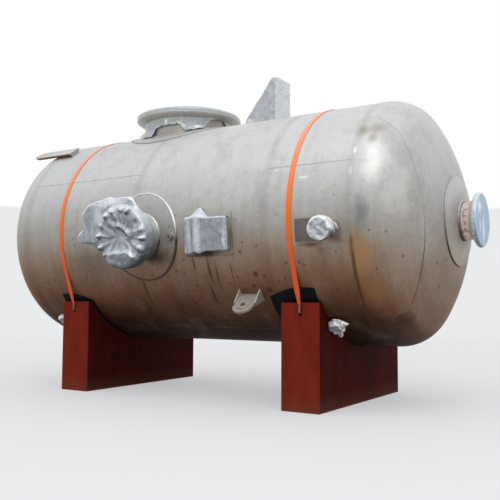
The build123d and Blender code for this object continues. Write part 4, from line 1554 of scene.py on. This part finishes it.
@dataclass
class WedgeBracket(Assembly):
    """Wedge-shaped bracket on the crest, wrapped in film."""

    x: float = -0.740
    length: float = 0.372
    width: float = 0.276
    height: float = 0.470
    plate_t: float = 0.014
    tip: float = 0.030
    toe: float = 0.034
    grow: float = 0.008

    def build(self) -> None:
        """Dress the plates and wrap them."""
        self.dress(BRIGHT_STEEL, "bracket_upright", "bracket_gussets")
        outline = [
            (self.grow, -0.03), (self.grow, self.height + 0.003),
            (-(self.plate_t + self.tip + self.grow), self.height + 0.003),
            (-(self.length + 2 * self.grow), self.toe + self.grow),
            (-(self.length + 2 * self.grow), -0.03),
        ]
        half = self.width / 2 + self.grow
        bm = remeshed(prism(outline, -half, half), 0.008, 2)
        tight = Folds(0.055, 0.014, 61)
        move_verts(bm, lambda co, normal: normal * tight.lift(co))
        crest = (self.x, 0.0, AXIS_Z + SHELL_R)
        place = framed((1.0, 0.0, 0.0), (0.0, 0.0, 1.0), (0.0, -1.0, 0.0), crest)
        bmesh.ops.transform(bm, matrix=place, verts=bm.verts)
        open_where(bm, lambda co, normal: math.hypot(co.y, co.z - AXIS_Z) < SHELL_R + 0.012)
        made = self.piece("bracket_film_wrap", bm, GREY_FILM, Slot.FILM, ["bracket_film"])
        self.sheet(made, (0.9, 0.9), Held.STRETCHED, ["bracket_upright"])


@dataclass
class TailLug(Assembly):
    """Tailing lug at the left end."""

    def build(self) -> None:
        """Dress the plate and its packer."""
        self.dress(PAD_PLATE, "tail_lug_plate", "tail_lug_packer")


@dataclass
class EndNozzle(Assembly):
    """Nozzle on the right head with tape and film."""

    apex_x: float = 1.223
    crown_r: float = 1.92
    pad_r: float = 0.426
    pad_t: float = 0.012
    neck_r: float = 0.178
    flange_r: float = 0.251
    flange_back: float = 0.144
    face_h: float = 0.1765

    def crown_line(self, radius: float, out: float, steps: int) -> list[Vector]:
        """Give a circle that lies on the crown.

        Args:
            radius: its radius.
            out: distance outside the crown.
            steps: number of sides.

        Returns:
            The points.
        """
        rise = math.sqrt((self.crown_r + out) ** 2 - radius**2) - self.crown_r
        place = apex_frame(self.apex_x)
        return [place @ Vector((u, v, rise)) for u, v in circle_path(radius, steps)]

    def film(self) -> None:
        """Make the pale film drawn over the flange's face and gathered on the neck behind it."""
        profile = finely(
            [
                (0.0, self.face_h + 0.0015), (self.flange_r - 0.002, self.face_h + 0.0015),
                (self.flange_r + 0.003, self.face_h - 0.006),
                (self.flange_r + 0.003, self.flange_back + 0.002),
                (self.flange_r - 0.004, self.flange_back - 0.005),
                (self.neck_r + 0.022, self.flange_back - 0.028),
                (self.neck_r + 0.006, self.flange_back - 0.046),
            ],
            0.006, smooth=1,
        )
        bm = turned(profile, 200)
        tight = Folds(0.10, 0.009, 71)
        move_verts(bm, lambda co, normal: normal * tight.lift(co))
        bmesh.ops.transform(bm, matrix=apex_frame(self.apex_x), verts=bm.verts)
        made = self.piece("end_nozzle_wrap", bm, BLUE_FILM, Slot.CLEAR_FILM, ["end_nozzle_film"])
        self.sheet(made, (0.6, 0.6), Held.STRETCHED, ["end_nozzle_flange"])

    def build(self) -> None:
        """Dress the steel, lay the welds and cover the face."""
        self.dress(END_PLATE, "end_nozzle_pad")
        self.dress(NECK_STEEL, "end_nozzle_neck")
        self.dress(BRIGHT_STEEL, "end_nozzle_flange")
        self.dress(TAPE, "end_nozzle_tape")
        rim = self.crown_line(self.pad_r + 0.002, 0.005, 160)
        neck = self.crown_line(self.neck_r + 0.006, self.pad_t + 0.004, 100)
        self.bead("end_pad_weld", [rim], 0.009, WELD_METAL, Slot.PAD, 32.0)
        self.bead("end_neck_weld", [neck], 0.012, WELD_METAL, Slot.FITTING, 33.0)
        self.film()


@dataclass
class Cradle(Assembly):
    """One steel cradle with its rubber mat."""

    side: str = "right"
    x: float = 0.0
    width: float = 0.390
    over_left: float = 0.128
    over_right: float = -0.029
    angle_left: float = -37.0
    angle_right: float = -32.5
    mat_t: float = 0.008
    mat_length: float = 2.5
    bow: float = 2.0
    curl: float = 0.010
    free_share: float = 0.05

    def mat(self) -> None:
        """Lay the rubber mat, its free ends curled a little off the shell."""
        bm = bmesh.new()
        bmesh.ops.create_grid(bm, x_segments=24, y_segments=150, size=0.5)
        x0 = self.x - self.width / 2 - self.over_left
        x1 = self.x + self.width / 2 + self.over_right
        for v in bm.verts:
            u, t = v.co.x + 0.5, v.co.y + 0.5
            front = self.angle_left + (self.angle_right - self.angle_left) * u
            front += self.bow * math.sin(math.pi * u)
            angle = front + (-180.0 - 2 * front) * t
            free = max(0.0, 1.0 - min(t, 1.0 - t) / self.free_share)
            uneven = abs(noise.noise(Vector((u * 2.0, 3.0, self.x))))
            lift = 0.0008 + self.curl * free**2 * uneven
            place = on_shell(x0 + (x1 - x0) * u, angle, lift)
            v.co = place.translation
        bmesh.ops.recalc_face_normals(bm, faces=bm.faces)
        bmesh.ops.solidify(bm, geom=bm.faces, thickness=-self.mat_t + 0.001)
        bmesh.ops.recalc_face_normals(bm, faces=bm.faces)
        name = f"{self.side}_rubber_mat"
        made = self.piece(name, bm, RUBBER, Slot.RUBBER, [f"{self.side}_mat"])
        self.sheet(
            made, (x1 - x0, self.mat_length), Held.LAID, [f"{self.side}_cradle_saddle"], faces=2
        )

    def build(self) -> None:
        """Dress the steel and lay the mat."""
        side = self.side
        self.dress(CRADLE_FRONT, f"{side}_cradle_ends", f"{side}_cradle_base")
        self.dress(
            CRADLE_SIDE, f"{side}_cradle_webs", f"{side}_cradle_saddle", f"{side}_cradle_horns"
        )
        self.mat()


@dataclass
class Strap(Assembly):
    """One lashing strap over the vessel with its hooks."""

    side: str = "right"
    x: float = 0.005
    width: float = 0.050
    neck_w: float = 0.030
    thick: float = 0.0035
    gap: float = 0.0004
    end_y: float = 0.998
    end_z: float = 0.982

    def build(self) -> None:
        """Bend a flat web over the shell and taper it into its hooks."""
        r = SHELL_R + self.gap + self.thick / 2
        drop = AXIS_Z - self.end_z
        far = math.hypot(self.end_y, drop)
        leaves = math.acos(r / far) - math.atan2(drop, self.end_y)
        leg = math.sqrt(far**2 - r**2)
        arc = r * (math.pi - 2 * leaves)
        total = arc + 2 * leg
        bm = bmesh.new()
        bmesh.ops.create_grid(bm, x_segments=260, y_segments=6, size=0.5)
        uv = bm.loops.layers.uv.new("weave")
        for face in bm.faces:
            for loop in face.loops:
                loop[uv].uv = ((loop.vert.co.x + 0.5) * total, loop.vert.co.y * self.width)
        for v in bm.verts:
            s, across = (v.co.x + 0.5) * total, v.co.y
            end = min(s, total - s)
            narrow = min(1.0, max(0.0, (end - 0.022) / 0.09))
            w = self.neck_w + (self.width - self.neck_w) * narrow
            cup = 0.0012 * (1.0 - 4.0 * across**2) * narrow
            side = -1.0 if s < total / 2 else 1.0
            if end < leg:
                back = Vector((0.0, side * math.sin(leaves), -math.cos(leaves)))
                out = Vector((0.0, side * math.cos(leaves), math.sin(leaves)))
                start = Vector((0.0, 0.0, AXIS_Z)) + out * r
                co = start + back * (leg - end) + out * cup
            else:
                turn = leaves + (s - leg) / r
                out = Vector((0.0, -math.cos(turn), math.sin(turn)))
                co = Vector((0.0, 0.0, AXIS_Z)) + out * (r + cup)
            co.x = self.x + across * w
            v.co = co
        bmesh.ops.recalc_face_normals(bm, faces=bm.faces)
        bmesh.ops.solidify(bm, geom=bm.faces, thickness=self.thick)
        bmesh.ops.recalc_face_normals(bm, faces=bm.faces)
        self.piece(f"{self.side}_webbing", bm, STRAP_WEB, Slot.WEBBING, [f"{self.side}_strap"])
        self.dress(HOOK_STEEL, f"{self.side}_strap_hooks")


@dataclass(frozen=True)
class Studio:
    """Floor, world light, lamps and camera."""

    camera_at: tuple[float, float, float] = (3.077, -6.689, 0.997)
    yaw: float = 0.5645
    pitch: float = 0.0728
    roll: float = 0.0049
    lens: float = 50.98
    white: str = "#FFFFFF"
    grey: str = "#EAEBED"
    horizon: float = 0.1255
    sky: float = 0.85
    horizon_soft: float = 0.002
    lamp_at: tuple[float, float, float] = (1.5, -5.0, 8.0)
    lamp_aim: tuple[float, float, float] = (-1.4, 0.0, 1.6)
    lamp_size: float = 5.0
    lamp_watts: float = 178.0
    floor_r: float = 18.0
    floor_drop: float = 0.001

    def camera(self) -> None:
        """Make the camera at the viewing angle of the picture."""
        cos_p = math.cos(self.pitch)
        forward = Vector(
            (-math.sin(self.yaw) * cos_p, math.cos(self.yaw) * cos_p, math.sin(self.pitch))
        )
        right = Vector((math.cos(self.yaw), math.sin(self.yaw), 0.0))
        up = right.cross(forward)
        level_right = right * math.cos(self.roll) + up * math.sin(self.roll)
        level_up = up * math.cos(self.roll) - right * math.sin(self.roll)
        data = bpy.data.cameras.new("camera")
        data.lens = self.lens
        data.sensor_width = 36.0
        made = linked("camera", data)
        turn = Matrix((level_right, level_up, -forward)).transposed()
        made.matrix_world = Matrix.Translation(self.camera_at) @ turn.to_4x4()
        bpy.context.scene.camera = made

    def world(self) -> None:
        """Light the scene softly and show a pale background to camera, gloss and glass."""
        world = bpy.data.worlds.new("studio")
        bpy.context.scene.world = world
        world.use_nodes = True
        tree = world.node_tree
        tree.nodes.clear()
        coords = add(tree, "TexCoord").outputs
        way = add(tree, "SeparateXYZ", {0: coords["Generated"]})
        line = add(
            tree, "MapRange",
            {
                "Value": way.outputs[2], "From Min": self.horizon - self.horizon_soft,
                "From Max": self.horizon + self.horizon_soft,
            },
        )
        shown = add(
            tree, "Mix", {0: line, UNDER: linear(self.grey), OVER: linear(self.white)},
            data_type="RGBA",
        )
        backdrop = add(tree, "Background", {0: shown, 1: 1.0})
        light = add(tree, "Background", {0: linear(self.white), 1: self.sky})
        path = add(tree, "LightPath").outputs
        seen: Feed = path["Is Camera Ray"]
        for ray in ("Is Glossy Ray", "Is Transmission Ray"):
            seen = add(tree, "Math", {0: seen, 1: path[ray]}, operation="MAXIMUM")
        mixed = add(tree, "MixShader", {0: seen, 1: light, 2: backdrop})
        add(tree, "OutputWorld", {0: mixed})

    def lamp(self) -> None:
        """Hang one soft lamp that points at the vessel."""
        data = bpy.data.lights.new("key_lamp", "AREA")
        data.size = self.lamp_size
        data.energy = self.lamp_watts
        made = linked("key_lamp", data)
        made.location = self.lamp_at
        aim = Vector(self.lamp_aim) - Vector(self.lamp_at)
        made.rotation_euler = aim.to_track_quat("-Z", "Y").to_euler()

    def build(self) -> None:
        """Make the studio."""
        bpy.context.scene.view_settings.view_transform = "Standard"
        bm = bmesh.new()
        bmesh.ops.create_circle(bm, cap_ends=True, segments=64, radius=self.floor_r)
        bmesh.ops.translate(bm, verts=bm.verts, vec=(0.0, 0.0, -self.floor_drop))
        mesh = bpy.data.meshes.new("studio_floor")
        bm.to_mesh(mesh)
        bm.free()
        mesh.materials.append(StudioFloor("pale_studio_floor").material())
        floor = linked("studio_floor", mesh)
        floor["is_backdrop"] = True
        self.world()
        self.lamp()
        self.camera()


def corners(box: tuple[Vector, Vector]) -> list[list[float]]:
    """Turn a box to plain lists."""
    return [list(corner) for corner in box]


def main() -> None:
    """Build the sub-assemblies in order."""
    logging.basicConfig(level=logging.INFO, format="%(message)s")
    random.seed(7)
    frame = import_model()
    cad_box = corners(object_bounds())
    nodes = frame["nodes"]
    Studio().build()
    for part in (
        Shell(nodes),
        Manway(nodes),
        TopNozzle(nodes),
        ClipBox(nodes),
        LiftingLug(nodes),
        SmallNozzle(nodes),
        Drains(nodes),
        WedgeBracket(nodes),
        TailLug(nodes),
        EndNozzle(nodes),
        Cradle(nodes),
        Cradle(nodes, "left", -2.86, 0.390, 0.013, 0.029, -35.5, -39.5),
        Strap(nodes),
        Strap(nodes, "left", -2.878),
    ):
        part.build()
    {"cad": cad_box, "visual": corners(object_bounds())}


if __name__ == "__main__":
    main()
